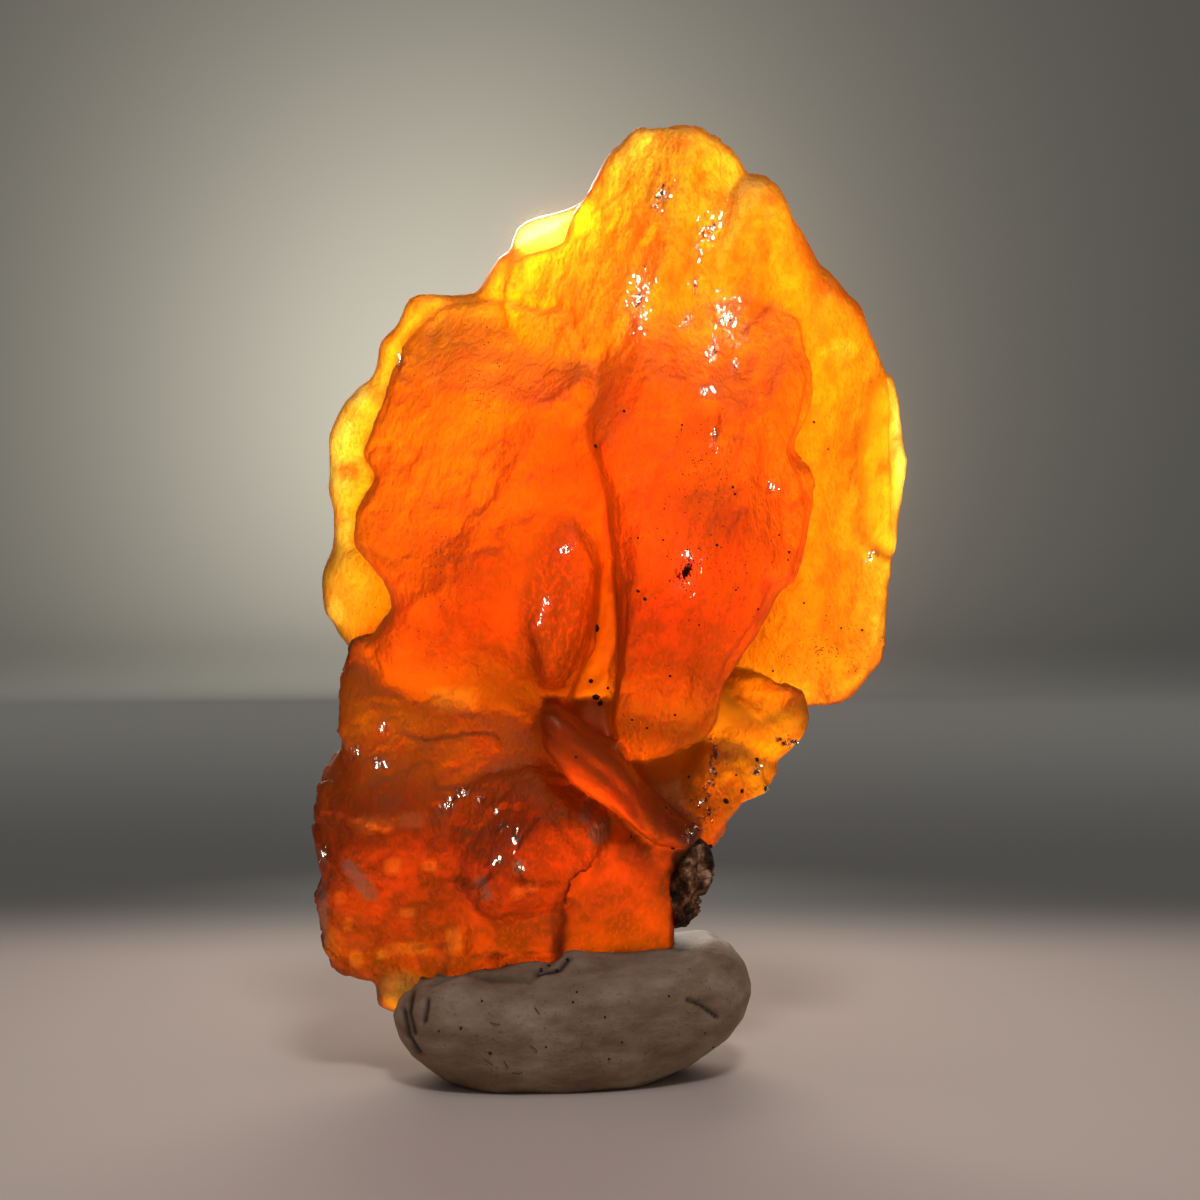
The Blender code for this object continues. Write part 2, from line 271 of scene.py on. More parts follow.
SLABS = {
    "crown": dict(
        outline=[(-3.7, 26.6), (-3.4, 28.0), (-1.6, 28.5), (-1.2, 29.7), (-0.6, 30.5), (-0.1, 31.5),
                 (0.8, 32.3), (2.4, 32.5), (3.0, 32.5), (4.1, 31.7), (4.5, 31.1), (4.7, 29.8), (4.8, 28.0),
                 (5.8, 25.6), (5.1, 22.6), (1.0, 21.5), (-2.4, 23.2)],
        depth=0.4, half=2.5, edge=0.75, lean=(0.06, 0.04), tone=0.68, grain="fibre",
        flats=[((-0.45, -1.0, 0.35), 2.3), ((0.5, -1.0, 0.1), 2.4), ((0.1, 1.0, 0.45), 2.4)]),
    "right plate": dict(
        outline=[(3.1, 30.0), (4.5, 30.8), (5.1, 30.8), (5.9, 30.3), (6.2, 29.4), (6.7, 28.8), (7.1, 27.9),
                 (8.1, 26.9), (8.7, 26.3), (9.1, 25.3), (9.5, 24.1), (9.6, 22.8), (9.7, 19.9), (9.8, 18.0),
                 (9.7, 15.3), (9.6, 14.2), (8.8, 13.3), (8.4, 12.6), (7.4, 12.3), (6.7, 12.2), (5.0, 12.3),
                 (4.0, 13.0), (3.9, 13.5), (1.4, 15.0), (0.3, 20.5), (1.4, 26.6)],
        depth=0.9, half=1.75, edge=0.6, lean=(0.08, -0.03), tone=0.47, grain="ribs",
        flats=[((0.35, -1.0, -0.1), 1.7), ((-0.1, -1.0, -0.5), 2.9), ((0.4, 1.0, 0.0), 2.1)]),
    "edge flake": dict(
        outline=[(9.2, 24.4), (9.8, 24.0), (10.0, 23.4), (10.2, 22.1), (10.3, 21.1), (10.2, 19.8),
                 (10.0, 19.0), (10.0, 18.2), (9.8, 17.6), (8.6, 18.3), (8.2, 21.8), (8.6, 23.9)],
        depth=2.2, half=0.5, edge=0.5, lean=(0.1, 0.0), tone=0.86, grain="lobes", flats=[]),
    "heart": dict(
        outline=[(-0.2, 20.1), (-0.7, 21.9), (-0.8, 23.9), (-0.3, 25.9), (1.0, 27.1), (3.0, 27.4),
                 (5.0, 26.8), (6.3, 25.8), (6.7, 24.2), (6.8, 23.3), (6.1, 21.7), (6.8, 20.8), (6.9, 19.8),
                 (6.7, 18.7), (6.3, 17.2), (5.7, 16.9), (4.9, 15.3), (4.2, 14.4), (3.8, 13.8), (3.6, 12.7),
                 (3.4, 12.0), (2.0, 11.4), (1.0, 11.2), (0.2, 11.7), (0.1, 13.1), (0.3, 15.2), (0.2, 17.2)],
        depth=-1.3, half=3.1, edge=0.62, lean=(0.1, 0.05), tone=0.36, grain="fibre",
        flats=[((-0.1, -1.0, 0.12), 2.7), ((0.55, -1.0, 0.1), 3.3), ((0.1, -1.0, -0.45), 3.7),
               ((0.1, -1.0, 0.6), 3.7), ((-0.7, -1.0, 0.5), 4.0)]),
    "left slab": dict(
        outline=[(-7.5, 23.9), (-7.1, 25.1), (-6.6, 25.8), (-6.0, 26.3), (-4.5, 26.7), (-3.1, 26.6),
                 (-1.9, 26.5), (-1.3, 26.1), (-0.7, 25.1), (-0.2, 23.3), (0.1, 20.9), (-0.2, 17.9),
                 (-0.5, 15.1), (-1.4, 12.9), (-2.4, 12.5), (-4.4, 12.4), (-6.5, 12.9), (-8.3, 13.4),
                 (-8.8, 14.3), (-8.1, 15.1), (-7.1, 16.0), (-7.6, 17.3), (-8.6, 18.4), (-8.5, 19.5),
                 (-7.9, 20.7), (-8.4, 21.4), (-7.9, 22.6)],
        depth=-0.8, half=2.6, edge=0.5, lean=(-0.08, 0.04), tone=0.20, grain="net",
        flats=[((-0.3, -1.0, 0.2), 2.4), ((0.35, -1.0, -0.1), 2.6), ((-0.2, -1.0, 0.9), 3.9),
               ((-0.9, -1.0, -0.2), 3.8), ((0.0, -1.0, -0.55), 3.5)]),
    "left rim": dict(
        outline=[(-3.4, 28.4), (-3.9, 28.1), (-4.2, 27.5), (-4.6, 26.9), (-5.7, 26.8), (-6.4, 26.9),
                 (-6.9, 26.7), (-7.4, 25.6), (-7.8, 25.3), (-8.2, 24.0), (-8.7, 23.7), (-9.3, 22.9),
                 (-9.7, 22.0), (-9.7, 20.2), (-9.5, 19.4), (-9.5, 18.1), (-9.9, 17.2), (-9.9, 16.6),
                 (-9.8, 15.8), (-9.1, 14.7), (-8.8, 13.9), (-6.2, 12.8), (-2.4, 14.9), (-0.7, 19.8),
                 (-0.7, 25.6), (-1.7, 28.0)],
        depth=1.4, half=1.1, edge=0.55, lean=(-0.05, 0.03), tone=0.72, grain="lobes",
        flats=[((-0.25, 1.0, 0.1), 1.3)]),
    "sliver": dict(
        outline=[(-3.6, 27.9), (-3.4, 28.6), (-3.2, 29.1), (-2.8, 29.4), (-2.1, 29.6), (-1.3, 29.8),
                 (-0.6, 30.2), (-0.2, 29.1), (-1.0, 27.5), (-2.6, 27.0)],
        depth=1.9, half=0.5, edge=0.5, lean=(0.0, 0.15), tone=0.85, grain="smooth", flats=[]),
    "back slab": dict(
        outline=[(-5.6, 24.2), (-2.2, 26.0), (2.4, 28.2), (5.6, 27.0), (7.2, 22.2), (6.2, 16.8), (3.4, 13.0),
                 (-1.8, 11.6), (-5.4, 14.2), (-6.6, 19.0)],
        depth=1.3, half=2.5, edge=0.6, lean=(0.05, -0.03), tone=0.45, grain="chips",
        flats=[((-0.35, 1.0, 0.3), 2.2), ((0.5, 1.0, 0.15), 2.4), ((0.1, 1.0, -0.6), 2.9)]),
    "lower left": dict(
        outline=[(-8.8, 15.1), (-9.0, 14.3), (-9.2, 12.3), (-9.1, 11.6), (-9.4, 11.1), (-10.0, 9.9),
                 (-10.1, 8.5), (-9.8, 6.8), (-10.1, 6.1), (-9.9, 4.7), (-9.3, 3.7), (-8.0, 3.4), (-5.9, 3.2),
                 (-3.8, 3.1), (-1.7, 4.0), (-0.7, 7.5), (-0.7, 10.9), (-1.7, 13.3), (-4.4, 14.7),
                 (-7.2, 15.1)],
        depth=0.0, half=3.1, edge=0.6, lean=(-0.05, -0.02), tone=0.42, grain="chips",
        flats=[((-0.1, -1.0, -0.4), 3.2), ((0.1, -1.0, 0.35), 2.8), ((-0.8, -1.0, 0.1), 4.2),
               ((0.1, 1.0, -0.35), 3.0), ((-0.5, 1.0, 0.3), 3.2)]),
    "lower right": dict(
        outline=[(-3.8, 12.3), (-1.7, 13.0), (1.0, 13.0), (3.4, 12.0), (3.8, 10.9), (3.6, 9.6), (3.2, 8.6),
                 (2.7, 7.7), (2.3, 6.8), (2.2, 5.8), (2.2, 4.9), (2.2, 4.0), (2.1, 3.0), (-0.3, 2.9),
                 (-3.8, 2.9), (-5.9, 3.0), (-5.5, 6.0), (-4.8, 9.5)],
        depth=0.1, half=3.1, edge=0.6, lean=(0.0, 0.0), tone=0.12, grain="smooth",
        flats=[((0.15, -1.0, -0.42), 2.5), ((0.25, -1.0, 0.5), 2.9), ((0.0, 1.0, -0.4), 2.7),
               ((0.6, 1.0, 0.1), 3.2)]),
    "front lump": dict(
        outline=[(-5.3, 10.3), (-5.6, 9.3), (-5.5, 7.9), (-4.5, 6.1), (-3.6, 5.9), (-1.9, 6.3), (-1.3, 6.9),
                 (-0.3, 8.0), (0.0, 8.5), (-0.1, 9.4), (-0.7, 10.1), (-2.2, 11.0), (-4.0, 10.8)],
        depth=-2.1, half=1.9, edge=0.85, lean=(0.0, 0.0), tone=0.34, grain="chips",
        flats=[((-0.4, -1.0, 0.4), 1.75), ((0.3, -1.0, -0.3), 1.75)]),
    "ridge plate": dict(
        outline=[(-2.3, 13.2), (-1.7, 13.1), (-1.0, 12.5), (0.3, 11.5), (1.6, 9.8), (2.6, 9.0), (2.7, 8.3),
                 (1.5, 8.4), (0.0, 9.8), (-1.3, 10.7), (-2.2, 11.9)],
        depth=-2.2, half=2.0, edge=0.45, lean=(0.2, 0.0), tone=0.40, grain="smooth", flats=[]),
    "upper step": dict(
        outline=[(3.3, 14.0), (5.0, 13.8), (6.6, 13.2), (6.8, 12.4), (6.7, 11.8), (6.2, 11.3), (6.0, 11.0),
                 (5.2, 10.6), (3.8, 10.7), (2.6, 11.8)],
        depth=0.5, half=1.3, edge=0.6, lean=(0.0, 0.0), tone=0.66, grain="chips",
        flats=[((0.3, -1.0, 0.3), 1.1)]),
    "lower step": dict(
        outline=[(4.6, 11.4), (5.6, 11.0), (5.8, 10.5), (5.4, 9.8), (4.6, 9.5), (4.0, 8.8), (3.7, 8.2),
                 (3.4, 7.8), (2.6, 8.2), (2.0, 9.2), (2.2, 10.4), (3.2, 11.8)],
        depth=0.2, half=1.7, edge=0.6, lean=(0.0, 0.0), tone=0.70, grain="chips",
        flats=[((0.5, -1.0, 0.0), 1.5)]),
    "oval face": dict(
        outline=[(-1.8, 19.6), (-1.0, 19.3), (-0.5, 18.5), (-0.3, 17.2), (-0.6, 15.6), (-1.1, 14.5),
                 (-1.7, 13.6), (-2.2, 13.6), (-2.7, 15.0), (-3.0, 16.6), (-2.7, 18.3), (-2.3, 19.2)],
        depth=-2.0, half=1.5, edge=0.6, lean=(0.12, 0.0), tone=0.16, grain="fibre",
        flats=[((-0.25, -1.0, 0.1), 1.25)]),
    "tab": dict(
        outline=[(-8.0, 4.4), (-8.0, 2.5), (-7.2, 2.2), (-6.2, 2.3), (-5.6, 4.4)],
        depth=-0.2, half=0.8, edge=0.4, lean=(0.0, 0.0), tone=0.95, grain="smooth", flats=[]),
}
print(len(SLABS), "slabs")

# %% [markdown]
# One formula makes every slab, and the crumb and the roll too. The first parameter is the angle round the
# outline, and the second runs from the front pole over the rim to the back pole. Raising the sine and cosine of
# the second to a power below one makes the rim square and the faces flat, as a tablet's are. The same formula
# read backwards tells how far a point lies inside or outside a slab, which later says which slab owns a patch.

# %% Surface of a slab


def middle_of(outline):
    """The centre of the area inside an outline: the corners' cross products, weighted."""
    x, z = np.array(outline).T
    x_next, z_next = np.roll(x, -1), np.roll(z, -1)
    cross = x * z_next - x_next * z
    return np.array([((x + x_next) * cross).sum(), ((z + z_next) * cross).sum()]) / (3 * cross.sum())


def reach_of(outline, angles, steps=12):
    """How far the outline lies from its middle in each direction, its sides cut in short steps."""
    corners = np.array(outline) - middle_of(outline)
    along = np.linspace(0.0, 1.0, steps, endpoint=False)[:, None, None]
    points = (corners + (np.roll(corners, -1, axis=0) - corners) * along).reshape(-1, 2)
    turn = np.arctan2(points[:, 1], points[:, 0])
    order = np.argsort(turn)
    return np.interp(angles, turn[order], np.hypot(points[:, 0], points[:, 1])[order], period=2 * math.pi)


def slab_surface(slab, around=220, deep=72):
    """Corners in millimetres. Across is the outline's reach times the cosine of the depth angle to a power, and y
    the half thickness times its sine to that power. What stands beyond a broken plane is laid on to it."""
    v = np.linspace(-math.pi / 2, math.pi / 2, deep + 2)
    u = np.linspace(-math.pi, math.pi, around, endpoint=False)
    v_grid, u_grid = np.meshgrid(v[1:-1], u, indexing="ij")
    power = slab["edge"]
    reach = np.cos(v_grid) ** power * reach_of(slab["outline"], u_grid)
    y = np.sign(v_grid) * np.abs(np.sin(v_grid)) ** power * slab["half"]
    rows = np.stack([reach * np.cos(u_grid), y, reach * np.sin(u_grid)], axis=-1).reshape(-1, 3)
    points = np.concatenate([[(0.0, -slab["half"], 0.0)], rows, [(0.0, slab["half"], 0.0)]])
    for direction, stand in slab["flats"]:
        normal = np.array(direction) / np.linalg.norm(direction)
        points -= np.maximum(points @ normal - stand, 0.0)[:, None] * normal
    points[:, 1] += slab["depth"] + slab["lean"][0] * points[:, 0] + slab["lean"][1] * points[:, 2]
    x, z = middle_of(slab["outline"])
    return points + (x + MIDDLE[0], MIDDLE[1], z), grid_faces(deep, around)


def slab_level(points, slab):
    """How far out of a slab each point lies, for points in millimetres: below 1 inside, 1 on it, above 1 outside."""
    x_middle, z_middle = middle_of(slab["outline"])
    local = points - (x_middle + MIDDLE[0], MIDDLE[1] + slab["depth"], z_middle)
    local[:, 1] -= slab["lean"][0] * local[:, 0] + slab["lean"][1] * local[:, 2]
    across = np.hypot(local[:, 0], local[:, 2])
    across /= reach_of(slab["outline"], np.arctan2(local[:, 2], local[:, 0]))
    power = 2 / slab["edge"]
    level = (across ** power + np.abs(local[:, 1] / slab["half"]) ** power) ** (1 / power)
    for direction, stand in slab["flats"]:
        normal = np.array(direction) / np.linalg.norm(direction)
        level = np.maximum(level, local @ normal / stand)
    return level


print("slab surface:", len(slab_surface(SLABS["crown"])[0]), "corners each")

# %% [markdown]
# The slabs overlap, and the real mass is one body, so a voxel remesh joins them in one closed skin. Its grain
# is about an eighth of a millimetre, three pixels of the photograph, and keeps the piece under 200,000 triangles.
# A little smoothing then wears down the steps between the slabs, which in the real mass grew into one another.

# %% Join the slabs in one skin
SKIN_GRAIN = 0.132
WORN_ROUNDS = 14


def joined_slabs(name, slabs, grain, worn):
    """One closed object from slabs that overlap, its borders worn down in so many rounds."""
    surfaces = [slab_surface(slab) for slab in slabs]
    starts = np.cumsum([0] + [len(points) for points, _ in surfaces[:-1]])
    points = np.concatenate([points for points, _ in surfaces]) * MM
    faces = np.concatenate([faces + start for (_, faces), start in zip(surfaces, starts)])
    made = mesh_object(name, points, faces)
    skin = made.modifiers.new("one skin", "REMESH")
    skin.mode = "VOXEL"
    skin.voxel_size = grain * MM
    wear = made.modifiers.new("worn borders", "SMOOTH")
    wear.factor = 0.5
    wear.iterations = worn
    return worked_out(made)


crystal = joined_slabs("crystal_mass", SLABS.values(), SKIN_GRAIN, WORN_ROUNDS)
print("skin:", len(crystal.data.vertices), "corners")

# %% [markdown]
# Each slab broke and grew in its own way. Reading the slab formula backwards gives every corner of the skin a
# share of each slab, largest for the slab that owns that patch. The crown and heart have steep fibrous growth
# lines, the right plate long ribs, the left slab a network of wrinkles, its thin rim lobes, and the foot chips.

# %% Which slab owns each corner
OWNER_BLUR, TONE_BLUR = 0.035, 0.16


def shares_of(points, blur=OWNER_BLUR):
    """The share of every slab at each point, for points in millimetres: the level above the lowest, faded out."""
    levels = np.stack([slab_level(points, slab) for slab in SLABS.values()], axis=1)
    share = np.exp((levels.min(axis=1, keepdims=True) - levels) / blur)
    return share / share.sum(axis=1, keepdims=True)


def share_with(share, grain):
    """The share of all slabs that have one grain."""
    return share[:, [slab["grain"] == grain for slab in SLABS.values()]].sum(axis=1)


skin_points = corners_of(crystal.data) / MM
skin_share = shares_of(skin_points)
for grain in ("fibre", "ribs", "net", "lobes", "chips", "smooth"):
    print(f"{grain:7s}{share_with(skin_share, grain).mean():5.2f} of the skin")

# %% [markdown]
# Some marks belong to one place on the front, such as the smooth red fissure or a cluster of tiny facets. They
# are given in pixels of the photograph, and weigh only on corners that face the viewer. A patch is the inside
# of a polygon with a soft edge, a spot is a soft ellipse, and a seam is the neighbourhood of a drawn line.

# %% Places on the front


def distance_to_line(px, py, line):
    """How many pixels each point lies from a line through several pixels: the least over its straight stretches."""
    least = np.full(len(px), 1e9)
    for (x0, y0), (x1, y1) in zip(line[:-1], line[1:]):
        dx, dy = x1 - x0, y1 - y0
        along = np.clip(((px - x0) * dx + (py - y0) * dy) / (dx * dx + dy * dy), 0, 1)
        least = np.minimum(least, np.hypot(px - x0 - along * dx, py - y0 - along * dy))
    return least


def patch(px, py, corners, blur=5.0):
    """1 inside a polygon and 0 outside, with a soft edge. A point is inside if a ray from it crosses the rim oddly."""
    inside = np.zeros(len(px), bool)
    ring = corners + corners[:1]
    for (x0, y0), (x1, y1) in zip(ring[:-1], ring[1:]):
        if y0 != y1:
            crossing = (x1 - x0) * (py - y0) / (y1 - y0) + x0
            inside ^= ((y0 > py) != (y1 > py)) & (px < crossing)
    signed = np.where(inside, 1.0, -1.0) * distance_to_line(px, py, ring)
    return step_up(-blur / 2, blur / 2, signed)


def spot(px, py, place, power=2, soft=0.6):
    """A soft ellipse: its middle, its two half widths and its turn in degrees, clockwise in the photograph.

    A greater power squares it to a soft rectangle.
    """
    x, y, wide, high, turn = place
    cos, sin = math.cos(math.radians(turn)), math.sin(math.radians(turn))
    u = (px - x) * cos + (py - y) * sin
    v = (py - y) * cos - (px - x) * sin
    out = (np.abs(u / wide) ** power + np.abs(v / high) ** power) ** (1 / power)
    return 1 - step_up(1.15 - soft, 1.15, out)


def seam(px, py, line, width):
    """1 on a line and 0 at a width from it."""
    return 1 - step_up(0.0, width, distance_to_line(px, py, line))


# Faces: where each is seen, its tone, how far it sinks in millimetres and how smooth it is
FACES_SEEN = {
    "fissure": dict(tone=0.0, sink=0.10, smooth=1.0, corners=[
        (603, 492), (611, 520), (612, 560), (618, 600), (618, 645), (610, 668), (606, 700), (614, 730), (624, 745),
        (590, 735), (562, 712), (578, 680), (590, 640), (594, 600), (598, 555)]),
    "red facet under the heart": dict(tone=0.35, sink=0.0, smooth=0.8, corners=[
        (640, 766), (668, 748), (702, 740), (702, 775), (694, 802), (668, 810), (650, 790)]),
    "foot facet": dict(tone=0.06, sink=0.05, smooth=0.8, corners=[
        (612, 806), (652, 850), (672, 880), (676, 950), (470, 955), (466, 905), (500, 925), (570, 905), (604, 862)]),
    "pale corner facet": dict(tone=0.62, sink=0.0, smooth=1.0, corners=[
        (723, 690), (757, 716), (748, 728), (716, 730)]),
    "plate before the flake": dict(tone=0.44, sink=0.0, smooth=0.0, corners=[
        (850, 352), (876, 358), (886, 400), (889, 456), (889, 500), (886, 535), (878, 562), (850, 560)]),
}
print(len(FACES_SEEN), "faces")


def smoothness(px, py, blur):
    """How smooth the front is at each pixel: 1 on a smooth face and 0 off it."""
    return np.max([face["smooth"] * patch(px, py, face["corners"], blur) for face in FACES_SEEN.values()], axis=0)


# %% [markdown]
# Most glitter in the photograph comes from clusters of tiny facets on the front, each a fraction of a
# millimetre. Where a cluster is, the skin is broken into small tilted cells and polished. Brown windows, partly
# the crystal's own brown and partly painted shade where a facet turns away from the light, grey windows, a
# painted reflection of the room, bright gleams, which are painted light, and pale and deep places are noted in
# the same way, each by its middle, its half widths and its turn. The slabs' borders and creases are lines
# through a few pixels, and painted shade lies along most of them.

# %% Clusters, windows and lines seen on the front
GLITTER_SEEN = [
    (640, 298, 17, 38, 14), (695, 283, 8, 14, 0), (728, 318, 18, 30, -25), (686, 320, 7, 11, 0),
    (714, 350, 8, 16, 20), (735, 366, 5, 8, 0), (686, 572, 16, 28, 28), (567, 549, 10, 12, 40),
    (548, 603, 6, 8, 30), (540, 621, 5, 7, 30), (381, 764, 8, 8, 0), (356, 752, 6, 8, 0), (382, 728, 8, 6, 0),
    (449, 805, 10, 14, 30), (464, 793, 8, 5, -20), (480, 801, 7, 4, 0), (496, 809, 5, 5, 0), (516, 838, 6, 12, 0),
    (502, 826, 5, 5, 0), (496, 861, 5, 5, 0), (519, 867, 7, 7, 0), (661, 196, 12, 20, 15), (712, 228, 14, 30, 28),
    (324, 855, 5, 10, 0), (774, 487, 6, 8, 0), (705, 392, 7, 7, 0), (714, 438, 5, 14, 0), (870, 556, 10, 6, -40),
    (792, 741, 9, 5, 30), (757, 771, 9, 6, -30), (766, 789, 6, 5, 0), (400, 362, 4, 12, 10)]
# Brown windows: partly the crystal's own brown, partly painted shade where a facet turns away from the light
BROWN_AND_SHADE_SEEN = [
    (560, 605, 42, 92, 6), (600, 765, 52, 14, 38), (700, 520, 70, 60, 0), (690, 690, 60, 50, 0),
    (480, 690, 70, 45, 0), (520, 850, 70, 55, 0), (736, 392, 22, 62, -8), (690, 440, 26, 36, 0),
    (792, 400, 22, 70, -12), (774, 496, 10, 22, 0), (500, 350, 60, 26, 0), (780, 660, 55, 40, -20),
    (360, 800, 60, 60, 0), (545, 720, 20, 14, 0), (345, 930, 30, 60, 0), (692, 868, 24, 26, 0),
    (676, 900, 14, 40, 0), (420, 690, 70, 26, 0)]
DARK_SEEN = [(552, 615, 40, 98, 4), (508, 850, 62, 56, 0), (700, 800, 30, 12, 40)]
# Grey windows: a painted reflection of the grey room, in facets that turn away from the light
REFLECTING_WINDOWS_SEEN = [
    (359, 880, 8, 25, -38), (323, 918, 5, 34, 0), (588, 811, 7, 13, 20), (601, 829, 10, 15, 35),
    (481, 882, 7, 6, 0), (519, 866, 6, 7, 0), (487, 895, 6, 6, 0)]
TAN_SEEN = [
    (376, 824, 24, 9, 0), (410, 820, 16, 9, 0), (454, 941, 9, 14, 0), (518, 893, 7, 7, 0), (393, 866, 9, 9, 0),
    (407, 913, 9, 5, 0), (531, 888, 8, 4, 0), (410, 949, 26, 7, 0), (430, 866, 8, 6, 0), (455, 700, 26, 14, 0)]
# Gleams: painted light, bright yellow places where light glints inside the crystal
GLEAMS_SEEN = [
    (356, 959, 9, 10, 0), (340, 898, 7, 8, 0), (383, 954, 8, 6, 0), (348, 924, 6, 8, 0), (333, 945, 12, 20, 0),
    (404, 990, 30, 22, 0), (359, 395, 12, 14, 0), (341, 478, 12, 16, 0), (342, 528, 10, 16, 0), (344, 432, 10, 12, 0),
    (335, 612, 10, 16, 0), (902, 440, 8, 70, 0), (752, 190, 14, 22, 20), (838, 350, 20, 14, 0)]
PALE_SEEN = [(486, 363, 22, 20, 0), (350, 580, 26, 46, 0), (436, 470, 60, 50, 0), (590, 350, 20, 40, 10)]
DEEP_SEEN = [
    (872, 460, 14, 90, 0), (430, 655, 100, 60, 0), (700, 640, 70, 90, 20), (800, 640, 60, 60, 0),
    (570, 660, 60, 90, 0), (640, 905, 60, 50, 0), (375, 860, 60, 90, 0)]

SLAB_EDGE_SEEN = [
    (378, 418), (392, 365), (398, 347), (411, 329), (429, 312), (442, 305), (458, 298), (488, 297), (520, 301),
    (543, 309), (555, 303), (569, 312), (573, 328), (580, 345)]
SLAB_ARC_SEEN = [
    (442, 388), (435, 372), (434, 337), (461, 326), (491, 319), (513, 331), (530, 347), (541, 365), (546, 395),
    (550, 427)]
SLAB_CREASES_SEEN = [
    [(432, 314), (434, 337)], [(361, 456), (373, 446), (392, 443)], [(361, 456), (368, 470), (373, 480), (366, 500)],
    [(398, 350), (412, 348), (420, 355)], [(395, 368), (408, 375), (413, 388)], [(500, 450), (490, 445), (478, 452)],
    [(350, 548), (368, 548), (382, 556), (395, 562)], [(470, 553), (485, 547), (497, 548)]]
HEART_EDGE_SEEN = [
    (742, 328), (770, 300), (795, 340), (812, 380), (806, 425), (795, 448), (806, 480), (813, 500), (806, 545),
    (797, 579), (778, 589), (754, 637), (730, 665), (722, 681)]
GROOVE_SEEN = [(757, 184), (742, 205), (735, 228), (722, 258), (714, 272)]
CROWN_CREASE_SEEN = [(757, 226), (762, 250), (766, 280), (768, 303)]
RIDGE_EDGES_SEEN = [
    [(545, 707), (580, 722), (620, 754), (640, 780), (658, 805), (682, 828)],
    [(543, 734), (575, 752), (606, 775), (630, 800), (652, 844)]]
# The sliver's strip, where a white painted highlight goes
HIGHLIGHT_STRIP_SEEN = [
    (512, 240), (516, 230), (540, 218), (574, 209), (572, 216), (556, 228), (530, 240), (517, 247)]
print(len(GLITTER_SEEN), "clusters of glitter")


def spots(px, py, places, power=2, soft=0.6):
    """The strongest of several spots."""
    return np.max([spot(px, py, place, power, soft) for place in places], axis=0)


# %% [markdown]
# Relief is the sum of a few fields in millimetres, each weighed by the share of its slabs, and the skin moves
# along its own normals by that much. Fibres and ribs run along the growth lines, which lean a little to the right
# as they rise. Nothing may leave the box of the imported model, so the result is clipped.

# %% Relief of the crystal
STEEP = 0.22
SWELL, WRINKLE, GLINT = 0.12, 0.05, 0.06
STILL_LOSS = 0.85
# For each grain its fields: height in mm, kind, along the growth lines or not, size of the waves, seed and layers
RELIEF = {
    "chips": [(0.18, facets, False, (2.2, 1.8, 1.6), 12), (0.07, facets, False, 0.75, 13)],
    "fibre": [(0.11, noise, True, (0.5, 0.6, 2.8), 14, 3), (0.07, facets, True, (0.6, 0.8, 1.4), 15)],
    "ribs": [(0.11, noise, True, (0.8, 0.9, 4.2), 16, 2), (0.05, facets, True, (0.7, 0.8, 1.6), 17)],
    "net": [(0.10, noise, False, 1.2, 18, 3), (0.06, facets, False, 0.8, 22)],
    "lobes": [(0.13, noise, False, (1.3, 1.0, 1.0), 19, 2)],
    "smooth": [(0.04, noise, False, 0.9, 20, 2)],
}
# Lines sunk in the skin: the line, its width in pixels and its depth in mm
SUNK_LINES = [(CROWN_CREASE_SEEN, 7, 0.10), (SLAB_EDGE_SEEN, 7, 0.12), (SLAB_ARC_SEEN, 14, 0.05),
              (HEART_EDGE_SEEN, 9, 0.12)]
SUNK_LINES += [(line, 7, 0.08) for line in RIDGE_EDGES_SEEN + SLAB_CREASES_SEEN]


def facing_viewer(points, normals):
    """1 where the skin faces the eye and 0 where it faces away."""
    to_eye = np.array(EYE) / MM - points
    to_eye /= np.linalg.norm(to_eye, axis=1, keepdims=True)
    return step_up(0.0, 0.35, (normals * to_eye).sum(axis=1))


def wrinkles(points):
    """The borders of strongly bent cells, as soft broken lines from 0 to 1."""
    bent = points + 0.75 * np.stack([noise(points, 1.1, seed, 3) for seed in (4, 5, 6)], axis=1)
    border = cells(bent, (1.3, 1.3, 1.5), 3)[1]
    return (1 - step_up(0.0, 0.22, border)) * step_up(-0.1, 0.5, noise(points, 1.2, 7, 2))


def steep_way(points):
    """Coordinates along the growth lines."""
    way = points.copy()
    way[:, 0] -= STEEP * points[:, 2]
    return way


def relief_of(points, normals, share):
    """How far each corner moves along its normal, in millimetres."""
    front = facing_viewer(points, normals)
    px, py = seen_at(points * MM)
    ways = {False: points, True: steep_way(points)}
    move = SWELL * noise(points, 3.2, 11, 2)
    for grain, fields in RELIEF.items():
        heights = [height * kind(ways[steep], *rest) for height, kind, steep, *rest in fields]
        move += share_with(share, grain) * sum(heights)
    move -= share_with(share, "net") * WRINKLE * wrinkles(points)
    move *= 1 - STILL_LOSS * front * smoothness(px, py, 12)
    for face in FACES_SEEN.values():
        move -= front * face["sink"] * patch(px, py, face["corners"], 10)
    move += front * spots(px, py, GLITTER_SEEN) * GLINT * facets(points, 0.34, 21)
    for line, width, depth in SUNK_LINES:
        move -= front * depth * seam(px, py, line, width)
    return move


skin_normals = normals_of(crystal.data)
relief = relief_of(skin_points, skin_normals, skin_share)
skin_points = skin_points + relief[:, None] * skin_normals
low, high = (np.array(corner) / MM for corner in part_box("wulfenite_crystal"))
skin_points = np.clip(skin_points, low, high)
crystal.data.vertices.foreach_set("co", (skin_points * MM).astype(np.float32).ravel())
crystal.data.update()
print(f"relief from {relief.min():.2f} to {relief.max():.2f} mm")
